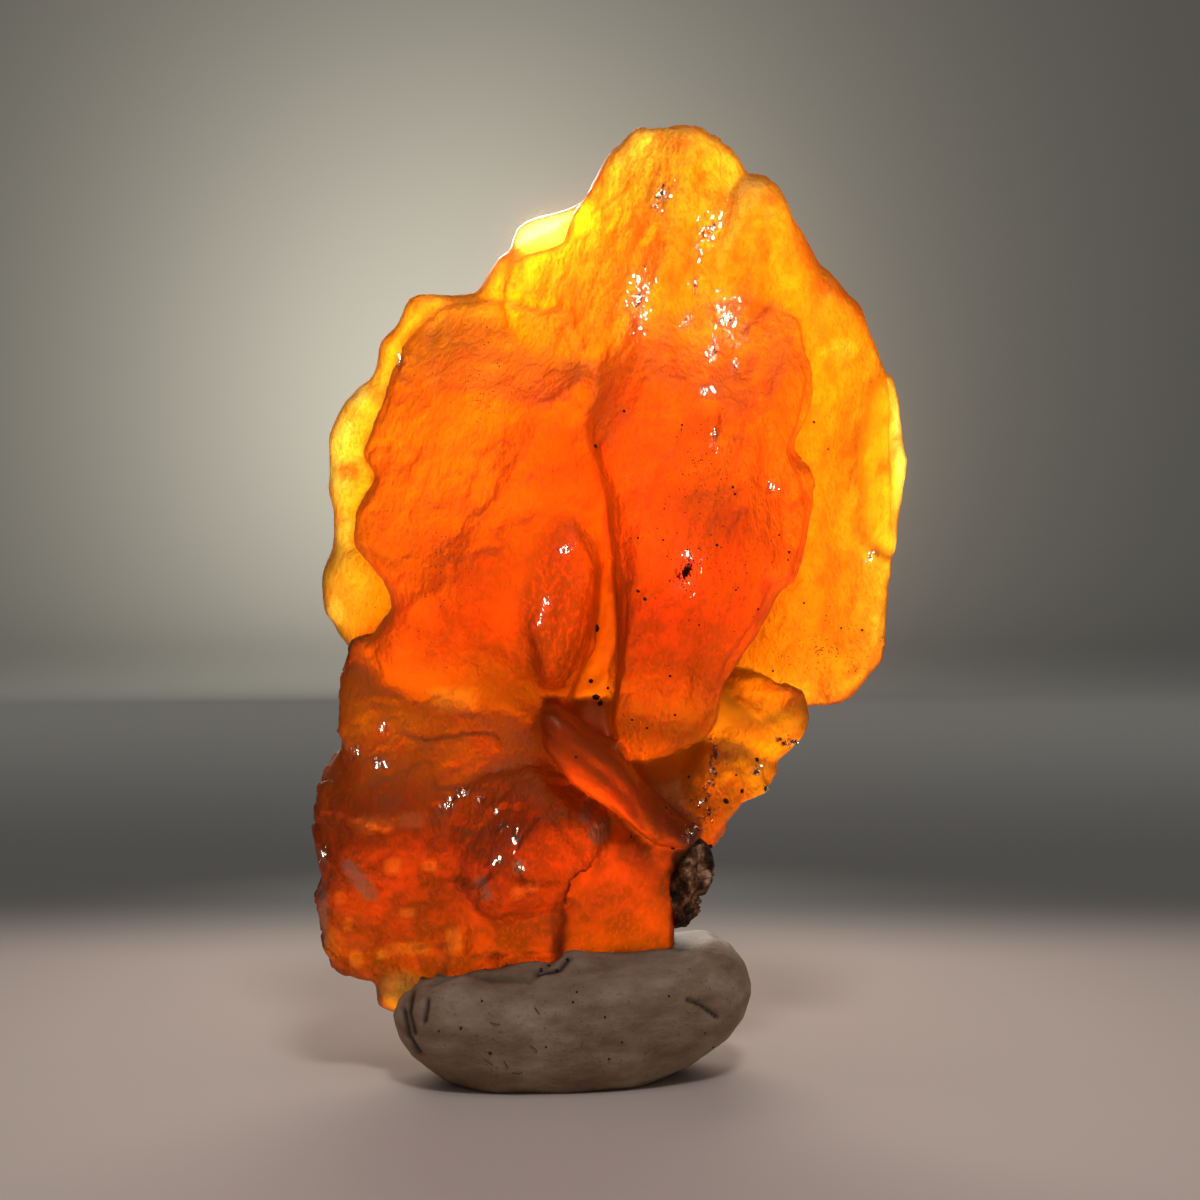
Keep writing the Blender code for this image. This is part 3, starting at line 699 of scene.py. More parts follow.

# %% [markdown]
# What the skin lets through at each place starts as a tone, from deep red-orange to pale yellow, and the tone
# gives the colour. It is the slabs' own tones, blended where they meet, with clouds, growth lines and pale flecks,
# and on the front with what the photograph shows, where the top, the left rim and a few gleams are painted
# yellower, painted light where the backlight comes through. The back has no photograph, so there the slabs and
# the noise alone set it.

# %% Tones and colours of the crystal
TONES = [
    (0.0, (0.62, 0.075, 0.003)), (0.3, (0.76, 0.25, 0.008)), (0.5, (0.95, 0.40, 0.020)), (0.7, (1.0, 0.54, 0.07)),
    (0.85, (1.0, 0.70, 0.14)), (1.0, (1.0, 0.90, 0.30)), (1.2, (1.0, 1.0, 0.48))]
# The dark colour serves painted shade towards the foot and dark spots, and the grey one is a painted reflection of the
# room
BROWN, DARK_AND_SHADE, REFLECTION_GREY, TAN = (0.36, 0.10, 0.010), (0.07, 0.028, 0.002), (0.40, 0.34, 0.32), (1.0, 0.62, 0.28)
# The deep red also serves painted shade in the hollows, and the white is a painted highlight
VEIL_AND_SHADE, HIGHLIGHT_WHITE = (0.72, 0.10, 0.007), (1.0, 1.0, 0.97)
# How much each thing changes the tone. The top, rim and gleam lifts are painted light, where the backlight comes
# through
CLOUD, GROWTH_LINE, FLECK = 0.14, 0.13, 0.22
TOP_GLOW_LIFT, GROOVE_LIFT, RIM_GLOW_LIFT, RIM_GLOW_CLOUD = 0.20, 0.40, 0.34, 0.30
GLEAM_LIFT, PALE_LIFT, DEEP_FALL, HEART_FALL = 0.45, 0.10, 0.22, 0.10
HEART_DEPTH_SEEN = (600, 430, 95, 120, 0)
# Painted shade: how much darker the mass is painted at each height, most towards the foot: the height in mm and the
# share of the dark colour
SHADE_BY_HEIGHT = [
    (6.0, 0.93), (8.5, 0.91), (10.0, 0.66), (11.0, 0.22), (13.0, 0.20), (14.5, 0.66), (16.5, 0.58), (19.5, 0.14),
    (22.0, 0.02)]


def ramped(value, stops):
    """A colour for each value, blended between stops."""
    places = [place for place, _ in stops]
    colours = np.array([colour for _, colour in stops])
    return np.stack([np.interp(value, places, colours[:, channel]) for channel in range(3)], axis=1)


def mixed(share, first, second):
    """Two colours mixed by a share of the second."""
    share = np.clip(share, 0, 1)[:, None]
    return first * (1 - share) + np.array(second) * share


def tone_of(points, front, px, py, share):
    """From 0, deep red-orange, to 1, pale yellow."""
    way = steep_way(points)
    lined = share_with(share, "fibre") + share_with(share, "ribs")
    tone = shares_of(points, TONE_BLUR) @ np.array([slab["tone"] for slab in SLABS.values()])
    tone += CLOUD * noise(points, (1.6, 1.6, 2.2), 31, 4) + GROWTH_LINE * lined * noise(way, (0.35, 0.4, 1.3), 32, 3)
    tone -= HEART_FALL * front * spot(px, py, HEART_DEPTH_SEEN)
    # Painted light: the top of the front is painted yellower, where the backlight comes through
    tone += TOP_GLOW_LIFT * front * step_up(420, 180, py) * step_up(560, 640, px)
    for face in FACES_SEEN.values():
        tone += (face["tone"] - tone) * front * patch(px, py, face["corners"], 6)
    # Painted light: the gleams are painted yellower, and the pale places are paler too
    tone += front * (GLEAM_LIFT * spots(px, py, GLEAMS_SEEN) + PALE_LIFT * spots(px, py, PALE_SEEN))
    tone -= front * DEEP_FALL * spots(px, py, DEEP_SEEN)
    # Painted light: the left rim is painted yellower, glowing unevenly in the backlight
    rim_glow = front * step_up(400, 335, px) * step_up(660, 600, py)
    tone += rim_glow * (RIM_GLOW_LIFT + RIM_GLOW_CLOUD * noise(points, 0.8, 38, 3))
    flecks = step_up(0.30, 0.65, noise(way, (0.22, 0.25, 0.7), 37, 2)) * step_up(18.0, 24.0, points[:, 2])
    return tone + FLECK * lined * flecks + GROOVE_LIFT * front * seam(px, py, GROOVE_SEEN, 11)


print(len(TONES), "colours from deep red to pale yellow")

# %% [markdown]
# The rest is laid over that colour, and kept in attributes, which the material reads by name. paint is the colour
# with cloudy veils and painted shade in the hollows, the brown windows, partly painted shade, the grey windows, a
# painted reflection, painted shade along the slabs' borders and creases and towards the foot, the wrinkles and a
# white painted highlight on the sliver's strip. glitter is where the skin is polished, still where it is smooth,
# fibre where growth lines run, dust where dark specks lie and the grey reflection where a window is painted grey
# and silvery, a painted reflection of the room.

# %% Attributes of the crystal
BROAD_VEIL, HOLLOW_SHADE, FINE_VEIL = 0.50, 0.35, 0.45
WINDOW_SHARE, WRINKLE_SHARE, DARK_SHARE, TAN_SHARE, REFLECTION_SHARE = 0.55, 0.50, 0.6, 0.5, 0.85
# Painted shade in brown along the slabs' borders and creases: the line, its width in pixels and its strength
BORDER_SHADE_LINES = [(SLAB_EDGE_SEEN, 6, 0.45), (SLAB_ARC_SEEN, 12, 0.45), (HEART_EDGE_SEEN, 6, 0.22),
               (CROWN_CREASE_SEEN, 6, 0.45)]
BORDER_SHADE_LINES += [(line, 6, 0.6) for line in RIDGE_EDGES_SEEN + SLAB_CREASES_SEEN]


def attribute(made, name, values):
    """A number or a colour for each corner of a mesh, under a name that a material can read."""
    values = np.clip(values, 0, 1).astype(np.float32)
    if values.ndim == 1:
        made.data.attributes.new(name, "FLOAT", "POINT").data.foreach_set("value", values)
    else:
        values = np.concatenate([values, np.ones((len(values), 1), np.float32)], axis=1)
        made.data.attributes.new(name, "FLOAT_COLOR", "POINT").data.foreach_set("color", values.ravel())


def brown_and_shade_of(px, py):
    """How brown the front is, with painted shade: soft windows, partly the crystal's own brown and partly painted
    shade, and painted shade along the slabs' borders and creases.
    """
    windows = WINDOW_SHARE * spots(px, py, BROWN_AND_SHADE_SEEN)
    return np.max([windows] + [depth * seam(px, py, line, width) for line, width, depth in BORDER_SHADE_LINES], axis=0)


def paint_crystal(made, points, normals, share, depth):
    """Work out every attribute of the crystal, and put it on the mesh. depth is the relief, negative in hollows."""
    px, py = seen_at(points * MM)
    front = facing_viewer(points, normals)
    still = front * smoothness(px, py, 6)
    paint = ramped(tone_of(points, front, px, py, share), TONES)
    # Painted shade: the mass is painted darker towards the foot, less so on the right, and not at the painted gleams
    height_shade = np.interp(points[:, 2], *np.array(SHADE_BY_HEIGHT).T) * (1 - 0.7 * step_up(4.0, 6.0, points[:, 0]))
    paint = mixed(height_shade * (1 - front * spots(px, py, GLEAMS_SEEN)), paint, DARK_AND_SHADE)
    # Cloudy veils, and painted shade in the relief's hollows, in the same deep red
    veil_and_hollow_shade = BROAD_VEIL * step_up(-0.1, 0.5, noise(points, 0.9, 35, 4)) + HOLLOW_SHADE * step_up(-0.02, -0.16, depth)
    veil_and_hollow_shade += FINE_VEIL * step_up(-0.05, 0.45, noise(points, 0.42, 36, 2))
    paint = mixed(veil_and_hollow_shade * (1 - 0.6 * still), paint, VEIL_AND_SHADE)
    # Brown windows, partly painted shade, and painted shade along the slabs' borders and creases
    paint = mixed(front * brown_and_shade_of(px, py) * (0.8 + 0.6 * noise(points, 1.5, 33, 4)), paint, BROWN)
    paint = mixed(share_with(share, "net") * (1 - still) * WRINKLE_SHARE * wrinkles(points), paint, BROWN)
    paint = mixed(front * spots(px, py, DARK_SEEN) * DARK_SHARE, paint, DARK_AND_SHADE)
    paint = mixed(front * spots(px, py, TAN_SEEN, 4, 0.7) * TAN_SHARE, paint, TAN)
    # A painted reflection: grey windows, painted the grey of the room that these facets mirror
    grey = front * spots(px, py, REFLECTING_WINDOWS_SEEN, 3, 0.3)
    paint = mixed(grey * REFLECTION_SHARE, paint, REFLECTION_GREY)
    # A painted highlight: the sliver's strip is painted white, so that the lamp shows through it white-hot
    paint = mixed(front * patch(px, py, HIGHLIGHT_STRIP_SEEN, 4), paint, HIGHLIGHT_WHITE)
    attribute(made, "grey", grey)
    attribute(made, "paint", paint)
    attribute(made, "glitter", front * spots(px, py, GLITTER_SEEN))
    attribute(made, "still", np.maximum(still, share_with(share, "smooth") * 0.6))
    attribute(made, "fibre", (share_with(share, "fibre") + 0.6 * share_with(share, "ribs")) * (1 - still))
    attribute(made, "dust", step_up(0.0, 0.35, noise(points, 2.6, 34, 3)) * (1 - still))


paint_crystal(crystal, skin_points, skin_normals, skin_share, relief)
print("attributes:", ", ".join(layer.name for layer in crystal.data.attributes))

# %% [markdown]
# Materials are written as sums. A Wire is the output of a node, and arithmetic on it adds the Math node that
# works it out. A Look is one material: it makes any node from its type, its settings and its values.

# %% Shader maths


class Wire:
    """A node's output. Arithmetic on wires and numbers adds Math nodes."""

    def __init__(self, look, socket):
        self.look = look
        self.socket = socket

    def maths(self, operation, *values):
        """The wire that one operation on wires or numbers gives."""
        return self.look.node("ShaderNodeMath", {"operation": operation}, dict(enumerate(values)))

    def __add__(self, other):
        return self.maths("ADD", self, other)

    def __mul__(self, other):
        return self.maths("MULTIPLY", self, other)

    def __sub__(self, other):
        return self.maths("SUBTRACT", self, other)

    def __rsub__(self, other):
        return self.maths("SUBTRACT", other, self)

    __radd__ = __add__
    __rmul__ = __mul__


class Look:
    """A material round one Principled shader, whose constant sockets are given by name."""

    def __init__(self, name, **constants):
        self.material = bpy.data.materials.new(name)
        self.material.use_nodes = True
        self.tree = self.material.node_tree
        self.shader = self.tree.nodes["Principled BSDF"]
        self.output = self.tree.nodes["Material Output"]
        for socket, value in constants.items():
            self.feed(self.shader.inputs[socket.replace("_", " ")], value)

    def feed(self, socket, value):
        """Link a wire into a socket, or set the socket to a number or a colour."""
        if isinstance(value, Wire):
            self.tree.links.new(value.socket, socket)
        elif isinstance(value, tuple) and socket.type == "RGBA":
            socket.default_value = (*value, 1.0)
        else:
            socket.default_value = value

    def node(self, kind, settings=None, values=None, output=0):
        """Any node: its settings first, with a ramp's stops as (place, colour), and then its sockets."""
        made = self.tree.nodes.new(kind)
        for key, value in (settings or {}).items():
            if key == "stops":
                ramp = made.color_ramp
                while len(ramp.elements) < len(value):
                    ramp.elements.new(1.0)
                for stop, (place, colour) in zip(ramp.elements, value):
                    stop.position = place
                    stop.color = (*colour, 1.0)
            else:
                setattr(made, key, value)
        for key, value in (values or {}).items():
            self.feed(made.inputs[key], value)
        return Wire(self, made.outputs[output])

    def place(self, size=1.0):
        """The piece's own coordinates in millimetres, divided by a size or by one size for each axis."""
        sizes = np.ones(3) * size
        own = self.node("ShaderNodeTexCoord", output="Object")
        return self.node("ShaderNodeVectorMath", {"operation": "MULTIPLY"}, {0: own, 1: tuple(1 / MM / sizes)})

    def attribute(self, name, output="Fac"):
        """A mesh attribute, as a number or a colour."""
        return self.node("ShaderNodeAttribute", {"attribute_name": name}, output=output)

    def noise(self, place, detail=2.0, roughness=0.5):
        """Noise from 0 to 1 with waves about as long as the place's unit."""
        values = {"Vector": place, "Scale": 1.0, "Detail": detail, "Roughness": roughness}
        return self.node("ShaderNodeTexNoise", {}, values)

    def between(self, value, low, high):
        """A smooth step from 0 to 1 as the value goes from low to high, or from 1 to 0 if high is the smaller."""
        values = {"Value": value, "From Min": low, "From Max": high}
        return self.node("ShaderNodeMapRange", {"interpolation_type": "SMOOTHSTEP"}, values)

    def ramp(self, value, stops):
        """A colour for each value, blended between stops."""
        return self.node("ShaderNodeValToRGB", {"stops": stops}, {0: value})

    def mix(self, share, first, second):
        """Two colours mixed by a share of the second."""
        return self.node("ShaderNodeMix", {"data_type": "RGBA"}, {"Factor": share, 6: first, 7: second}, output=2)

    def relief(self, height):
        """Bump from a height in millimetres."""
        bump = self.node("ShaderNodeBump", {}, {"Strength": 1.0, "Distance": MM, "Height": height})
        self.feed(self.shader.inputs["Normal"], bump)


print("shader maths ready")

# %% [markdown]
# The crystal is see-through: transmission, a refractive index, and plain absorption inside, which takes nearly
# all blue within a millimetre, green within a centimetre and almost no red. So a thin edge turns yellow and a
# thick heart red, and the paint on the skin adds what veils and cracks inside do to the light, with painted shade,
# painted light and a painted reflection on the front. The skin is rough, because its faces are etched, and that
# blurs what is behind into a milky glow. A fine grain and a net of thin veins break it up. Wulfenite's own index
# is 2.3, but the real mass is full of flaws that let light out again, which one clear body lacks: at 2.3 it goes
# dark, and at 1.65 it glows as the photograph shows.

# %% Material of the crystal
WULFENITE_INDEX, FLAWED_INDEX = 2.3, 1.65
ABSORBED_COLOUR = (0.993, 0.885, 0.2)
ABSORPTION_PER_METRE = 1900.0
SPECK = (0.22, 0.045, 0.006)
VEIN_WIDTH, VEIN_DEPTH = 0.016, 0.38
BUMP_HEIGHT = 0.055


def crystal_look():
    """The skin of the mass: its paint with dust, a fine grain and veins, rough but for the polished places."""
    look = Look("wulfenite", IOR=FLAWED_INDEX, Transmission_Weight=0.88, Coat_Roughness=0.06, Coat_IOR=1.6,
                Specular_Tint=(1.0, 0.50, 0.20), Specular_IOR_Level=0.3)
    glitter, still, fibre, dust = (look.attribute(name) for name in ("glitter", "still", "fibre", "dust"))
    fine = look.noise(look.place((0.16, 0.18, 0.26)), 1.0, 0.7)
    veins = look.noise(look.place((0.55, 0.60, 0.80)), 2.0, 0.65) - 0.5
    colour = look.mix(look.between(fine, 0.56, 0.68) * dust * 0.5, look.attribute("paint", "Color"), SPECK)
    colour = look.mix(look.between(fine, 0.55, 0.30) * (0.30 + 0.25 * fibre), colour, VEIL_AND_SHADE)
    colour = look.mix(look.between(veins * veins, VEIN_WIDTH ** 2, 0.0) * (1 - still) * VEIN_DEPTH, colour, BROWN)
    look.feed(look.shader.inputs["Base Color"], colour)
    look.feed(look.shader.inputs["Roughness"], 0.60 - 0.15 * still - 0.30 * glitter)
    look.feed(look.shader.inputs["Coat Weight"], 0.50 * glitter + 0.10 * still)
    # Half metallic where the grey painted reflection is
    look.feed(look.shader.inputs["Metallic"], 0.5 * look.attribute("grey"))
    look.relief(BUMP_HEIGHT * fine * (1 - still))
    absorb = look.node("ShaderNodeVolumeAbsorption", {}, {"Color": ABSORBED_COLOUR, "Density": ABSORPTION_PER_METRE})
    look.feed(look.output.inputs["Volume"], absorb)
    return look.material


def belongs(made, look, slot, *nodes):
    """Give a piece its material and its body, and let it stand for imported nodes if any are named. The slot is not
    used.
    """
    made.data.materials.append(look)
    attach(made, "root")
    if nodes:
        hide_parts(*nodes)
    print(f"{made.name:18s}{len(made.data.polygons):8d} faces")


belongs(crystal, crystal_look(), "wulfenite", "wulfenite_crystal")

# %% [markdown]
# Host rock clings to the crystal's right side, and putty grips its foot. Both start from the slab formula, get
# their own relief, and are then pushed out of the crystal where they would lie in it, so that each fits it
# closely. The putty was rolled between fingers: it has soft wrinkles, a fold under the crystal and a flat base.

# %% Host rock and putty
CRUMB = dict(
    outline=[(2.3, 8.2), (2.8, 8.3), (3.1, 8.1), (3.4, 7.6), (3.5, 7.1), (3.2, 6.6), (3.0, 6.1), (2.9, 5.7),
             (2.6, 5.3), (2.2, 5.3), (2.0, 5.9), (2.0, 7.0)],
    depth=-0.6, half=1.7, edge=0.8, lean=(0.0, 0.0), flats=[])
ROLL = dict(
    outline=[(-7.4, 2.3), (-7.1, 2.9), (-6.3, 3.5), (-5.3, 3.9), (-4.2, 4.1), (-2.9, 4.4), (-1.2, 4.5),
             (1.0, 4.5), (2.4, 4.6), (3.5, 4.7), (4.2, 4.3), (4.7, 3.6), (4.9, 2.8), (4.7, 2.0), (4.1, 1.3),
             (2.9, 0.5), (1.2, -0.3), (-1.5, -0.7), (-4.4, -0.4), (-5.8, 0.3), (-6.8, 1.0), (-7.2, 1.6)],
    depth=0.0, half=3.5, edge=0.72, lean=(math.tan(math.radians(7)), 0.0), flats=[])
ROCK_GRAIN, PUTTY_GRAIN = 0.07, 0.10
PRESSED_GAP = 0.03
PUTTY_FOLD_SEEN = [(430, 985), (463, 971), (492, 979), (530, 980), (560, 955)]
PUTTY_CREVICES_SEEN = [
    [(538, 972), (550, 972), (560, 970), (569, 959)], [(414, 992), (409, 1012), (414, 1034)],
    [(428, 1000), (424, 1022)], [(404, 1010), (408, 1036), (420, 1052)], [(688, 1000), (702, 1006), (717, 1017)]]
PUTTY_LUMPS_SEEN = [(565, 949, 26, 8, 0, 0.10), (718, 953, 30, 16, 10, 0.10), (470, 1000, 40, 22, 0, 0.05)]


def pressed_on(made, other):
    """Push whatever lies inside another piece out to its skin, with a hair's gap."""
    press = made.modifiers.new("pressed on", "SHRINKWRAP")
    press.target = other
    press.wrap_method = "NEAREST_SURFACEPOINT"
    press.wrap_mode = "OUTSIDE"
    press.offset = PRESSED_GAP * MM
    return worked_out(made)


def reshaped(made, points):
    """Move a piece's corners to new places in millimetres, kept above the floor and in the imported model's box."""
    low, high = np.array(cad_box) / MM
    made.data.vertices.foreach_set("co", (np.clip(points, low, high) * MM).astype(np.float32).ravel())
    made.data.update()


def rock_relief(points):
    """Chips and small lumps, as of a broken crust of tiny grains."""
    swell = 0.40 * noise(points, 0.9, 44, 2) + 0.18 * facets(points, 0.8, 41)
    return swell + 0.08 * facets(points, 0.42, 42) + 0.05 * noise(points, 0.25, 43, 2)


def putty_relief(points, normals):
    """Soft swells and finger wrinkles, with the fold, the crevices and the lumps that the front shows."""
    px, py = seen_at(points * MM)
    front = facing_viewer(points, normals)
    move = 0.07 * noise(points, (2.4, 2.0, 1.4), 51, 2) + 0.025 * noise(points, 0.5, 52, 3)
    ends = step_up(3.2, 6.5, np.abs(points[:, 0] + 1.2))
    move += 0.05 * ends * noise(points, (0.5, 1.2, 1.6), 53, 2)
    move -= 0.11 * front * seam(px, py, PUTTY_FOLD_SEEN, 6)
    for line in PUTTY_CREVICES_SEEN:
        move -= 0.10 * front * seam(px, py, line, 5)
    for x, y, wide, high, turn, height in PUTTY_LUMPS_SEEN:
        move += height * front * spot(px, py, (x, y, wide, high, turn))
    return move


print("rock and putty shapes ready")

# %% [markdown]
# The rock's colour is one ramp over noise, from near black to tan grains. The putty's is a ramp over wide smears,
# with painted shade in its crevices and fold, and darker at small spots of dirt.

# %% Looks of rock and putty


def rock_look():
    """Dark brown crust with tan grains, matt."""
    look = Look("host_rock", Specular_IOR_Level=0.35)
    stain = look.noise(look.place(0.5), 4.0, 0.6)
    colour = look.ramp(stain, [(0.38, (0.012, 0.006, 0.004)), (0.48, (0.09, 0.034, 0.013)), (0.58, (0.30, 0.12, 0.05)),
                               (0.68, (0.62, 0.42, 0.26))])
    look.feed(look.shader.inputs["Base Color"], colour)
    look.feed(look.shader.inputs["Roughness"], 0.9 - 0.5 * look.between(stain, 0.55, 0.7))
    look.relief(0.05 * look.noise(look.place(0.15), 2.0))
    return look.material


def putty_look():
    """Grey-brown putty, matt, with darker smears, painted shade in its crevices and a fine grain."""
    look = Look("putty", Specular_IOR_Level=0.3)
    smear = look.noise(look.place((1.8, 1.6, 0.8)), 4.0, 0.6)
    grain = look.noise(look.place(0.14), 2.0, 0.6)
    colour = look.ramp(smear, [(0.3, (0.21, 0.125, 0.075)), (0.5, (0.32, 0.205, 0.130)), (0.7, (0.44, 0.325, 0.23))])
    # Painted shade in the crevices and the fold
    colour = look.mix(look.attribute("crack"), colour, (0.035, 0.022, 0.016))
    colour = look.mix(look.between(grain, 0.62, 0.72) * 0.5, colour, (0.08, 0.05, 0.03))
    look.feed(look.shader.inputs["Base Color"], colour)
    look.feed(look.shader.inputs["Roughness"], 0.62 + 0.3 * (smear - 0.3))
    look.relief(0.030 * grain)
    return look.material


rock = joined_slabs("rock_crumb", [CRUMB], ROCK_GRAIN, 2)
rock_points, rock_normals = corners_of(rock.data) / MM, normals_of(rock.data)
reshaped(rock, rock_points + rock_relief(rock_points)[:, None] * rock_normals)
belongs(rock, rock_look(), "host_rock", "matrix_crumb")

putty = joined_slabs("putty", [ROLL], PUTTY_GRAIN, 4)
putty_points, putty_normals = corners_of(putty.data) / MM, normals_of(putty.data)
reshaped(putty, putty_points + putty_relief(putty_points, putty_normals)[:, None] * putty_normals)
putty = pressed_on(putty, crystal)
px, py = seen_at(putty_points * MM)
# Painted shade: the crevices and, more faintly, the fold are painted dark where they face the eye
crevice_shades = [seam(px, py, line, 4) for line in PUTTY_CREVICES_SEEN] + [0.35 * seam(px, py, PUTTY_FOLD_SEEN, 5)]
attribute(putty, "crack", facing_viewer(putty_points, putty_normals) * np.max(crevice_shades, axis=0))
belongs(putty, putty_look(), "putty", "putty_roll")

# %% [markdown]
# The smallest things are noted by the pixels where the photograph shows them: the druse, a crust of tiny sparkling
# crystals, by a line down the right side and a few soft ellipses on the steps, the dark grains by pixel and width,
# and dust as ellipses with a count. Specks of dirt and short threads lie on the putty.

# %% Where the small things are seen
KEY_PLACE = (20.0, -110.0, 184.0)
DRUSE_SEEN = [
    (711, 732), (715, 752), (713, 767), (712, 781), (708, 791), (704, 803), (710, 815), (700, 825), (692, 832),
    (684, 836)]
DRUSE_STEPS_SEEN = [
    (792, 741, 8, 5, 0), (784, 744, 6, 4, 0), (757, 771, 8, 5, 0), (766, 789, 5, 4, 0), (778, 740, 6, 4, 0)]
GRAINS_SEEN = [
    (624, 411, 3), (596, 446, 4), (733, 487, 3), (735, 494, 3), (717, 545, 3), (663, 540, 3), (645, 599, 5),
    (638, 591, 4), (736, 590, 3), (596, 628, 8), (699, 625, 3), (758, 609, 3), (591, 681, 5), (596, 697, 9),
    (600, 703, 8), (608, 688, 4), (632, 720, 3), (647, 728, 3), (675, 715, 3), (814, 422, 3), (828, 449, 3),
    (773, 671, 3), (804, 603, 3), (841, 628, 3), (862, 630, 3), (779, 535, 3), (638, 538, 3), (682, 425, 3),
    (576, 757, 3), (631, 837, 3), (666, 808, 3), (689, 777, 4), (736, 775, 3), (670, 676, 3), (726, 801, 7),
    (742, 791, 6), (757, 760, 5), (789, 552, 4), (788, 560, 3), (690, 848, 9), (683, 858, 7), (699, 841, 8),
    (710, 846, 7), (679, 872, 6), (690, 868, 5), (684, 888, 7), (688, 903, 8), (682, 915, 6), (692, 926, 7),
    (673, 848, 5)]
DUST_SEEN = [
    (690, 560, 90, 90, 0, 130), (820, 650, 55, 40, -20, 110), (480, 400, 90, 80, 0, 50), (440, 560, 60, 90, 0, 50),
    (700, 460, 60, 70, 0, 70), (690, 800, 50, 50, 0, 40)]
PUTTY_SPECKS_SEEN = [
    (482, 1001, 3), (439, 1031, 3), (461, 1028, 3), (577, 992, 3), (573, 1002, 3), (605, 1017, 3), (669, 996, 3),
    (622, 1042, 3), (609, 1059, 3), (713, 1047, 3), (705, 1033, 3), (546, 1047, 3), (490, 1053, 4), (541, 970, 5),
    (557, 971, 5), (567, 960, 4), (549, 966, 4)]
THREADS_SEEN = [
    [(534, 1007), (537, 1010), (540, 1015)], [(490, 1022), (495, 1025), (501, 1024)],
    [(529, 1045), (534, 1047), (538, 1052)], [(483, 1058), (488, 1061), (494, 1066)],
    [(512, 1072), (518, 1074), (523, 1072)], [(503, 1060), (507, 1063), (508, 1070)]]
MM_PER_PIXEL = 0.034
print(len(GRAINS_SEEN), "grains and", len(THREADS_SEEN), "threads noted")

# %% [markdown]
# The small things are strewn: one small shape with few faces is copied many times, each copy with its own place,
# direction and sizes. A place comes from a line of sight: it is where the line through a pixel meets the skin.

# %% Small shapes and where they sit
chance = np.random.default_rng(8)


def small_shape(around, deep, edge):
    """A ball of half width 1 with few faces and its poles on z. The cosine and sine of the depth angle are raised
    to a power: 1 keeps a round grain, and near 0 with two rows of four corners it is a square block."""
    v = np.linspace(-math.pi / 2, math.pi / 2, deep + 2)[1:-1]
    u = np.linspace(0, 2 * math.pi, around, endpoint=False) + math.pi / 4
    v_grid, u_grid = np.meshgrid(v, u, indexing="ij")
    across = np.cos(v_grid) ** edge
    height = np.sign(v_grid) * np.abs(np.sin(v_grid)) ** edge
    rows = np.stack([across * np.cos(u_grid), across * np.sin(u_grid), height], axis=-1).reshape(-1, 3)
    return np.concatenate([[(0, 0, -1)], rows, [(0, 0, 1)]]), grid_faces(deep, around)[:, ::-1]


def unit(ways):
    """Directions of length one."""
    return ways / np.linalg.norm(ways, axis=1, keepdims=True)


def tilted(ways, spread):
    """Directions that stray from the given ones at random, by about that many degrees."""
    return unit(unit(ways) + math.radians(spread) * chance.normal(size=ways.shape))


def turned_to(ways, spins):
    """For each direction, the three axes of a shape whose z points that way, spun about it."""
    helper = np.where(np.abs(ways[:, 2:]) < 0.9, (0.0, 0.0, 1.0), (1.0, 0.0, 0.0))
    side = unit(np.cross(helper, ways))
    up = np.cross(ways, side)
    cos, sin = np.cos(spins)[:, None], np.sin(spins)[:, None]
    return np.stack([side * cos + up * sin, up * cos - side * sin, ways], axis=2)


def strewn(name, shape, places, ways, sizes, spin=math.pi):
    """Copies of a small shape joined in one mesh: its corners times the sizes, turned by the axes, at the places."""
    corners, faces = shape
    axes = turned_to(ways, chance.uniform(-spin, spin, len(places)))
    copies = np.einsum("nij,nkj->nki", axes, corners[None] * sizes[:, None]) + places[:, None]
    copies = np.clip(copies.reshape(-1, 3) * MM, *cad_box)
    numbers = faces[None] + np.arange(len(places))[:, None, None] * len(corners)
    return mesh_object(name, copies, numbers.reshape(-1, 3), smooth=False)


def seats(made, pixels, behind=False):
    """Where the lines of sight through pixels meet a piece, and which way it faces there, in millimetres.

    From behind, the eye and the lines are mirrored in y. A line that misses gives no place.
    """
    turn = Vector((1, -1 if behind else 1, 1))
    found = [made.ray_cast(EYE * turn, ray_through(x, y) * turn) for x, y in pixels]
    found = [(place, way) for hit, place, way, _ in found if hit]
    return np.array([place for place, _ in found]) / MM, np.array([way for _, way in found])


def lumps_at(made, marks):
    """Places, directions and half sizes for marks given as a pixel and a width in pixels."""
    found = [(seats(made, [(x, y)]), size * MM_PER_PIXEL / 2) for x, y, size in marks]
    found = [(places[0], ways[0], half) for (places, ways), half in found if len(places)]
    halves = np.array([half for _, _, half in found])[:, None] * chance.uniform(0.7, 1.2, (len(found), 3))
    return np.array([place for place, _, _ in found]), np.array([way for _, way, _ in found]), halves


def pixels_in(ellipse, count):
    """Random pixels round the middle of an ellipse, fewer towards its rim: its middle, half widths and turn."""
    x, y, wide, high, turn = ellipse
    angle, out = chance.uniform(0, 2 * math.pi, count), np.minimum(0.5 * np.abs(chance.normal(size=count)), 1.2)
    u, v = wide * out * np.cos(angle), high * out * np.sin(angle)
    cos, sin = math.cos(math.radians(turn)), math.sin(math.radians(turn))
    return np.stack([x + u * cos - v * sin, y + u * sin + v * cos], axis=1)


def along(line, count, width_start, width_end):
    """Random pixels near a line, which widens from one width to another."""
    line = np.array(line, float)
    lengths = np.concatenate([[0], np.cumsum(np.linalg.norm(np.diff(line, axis=0), axis=1))])
    part = chance.uniform(0, 1, count)
    middle = np.stack([np.interp(part * lengths[-1], lengths, line[:, k]) for k in range(2)], axis=1)
    return middle + chance.uniform(-0.5, 0.5, (count, 2)) * (width_start + (width_end - width_start) * part)[:, None]


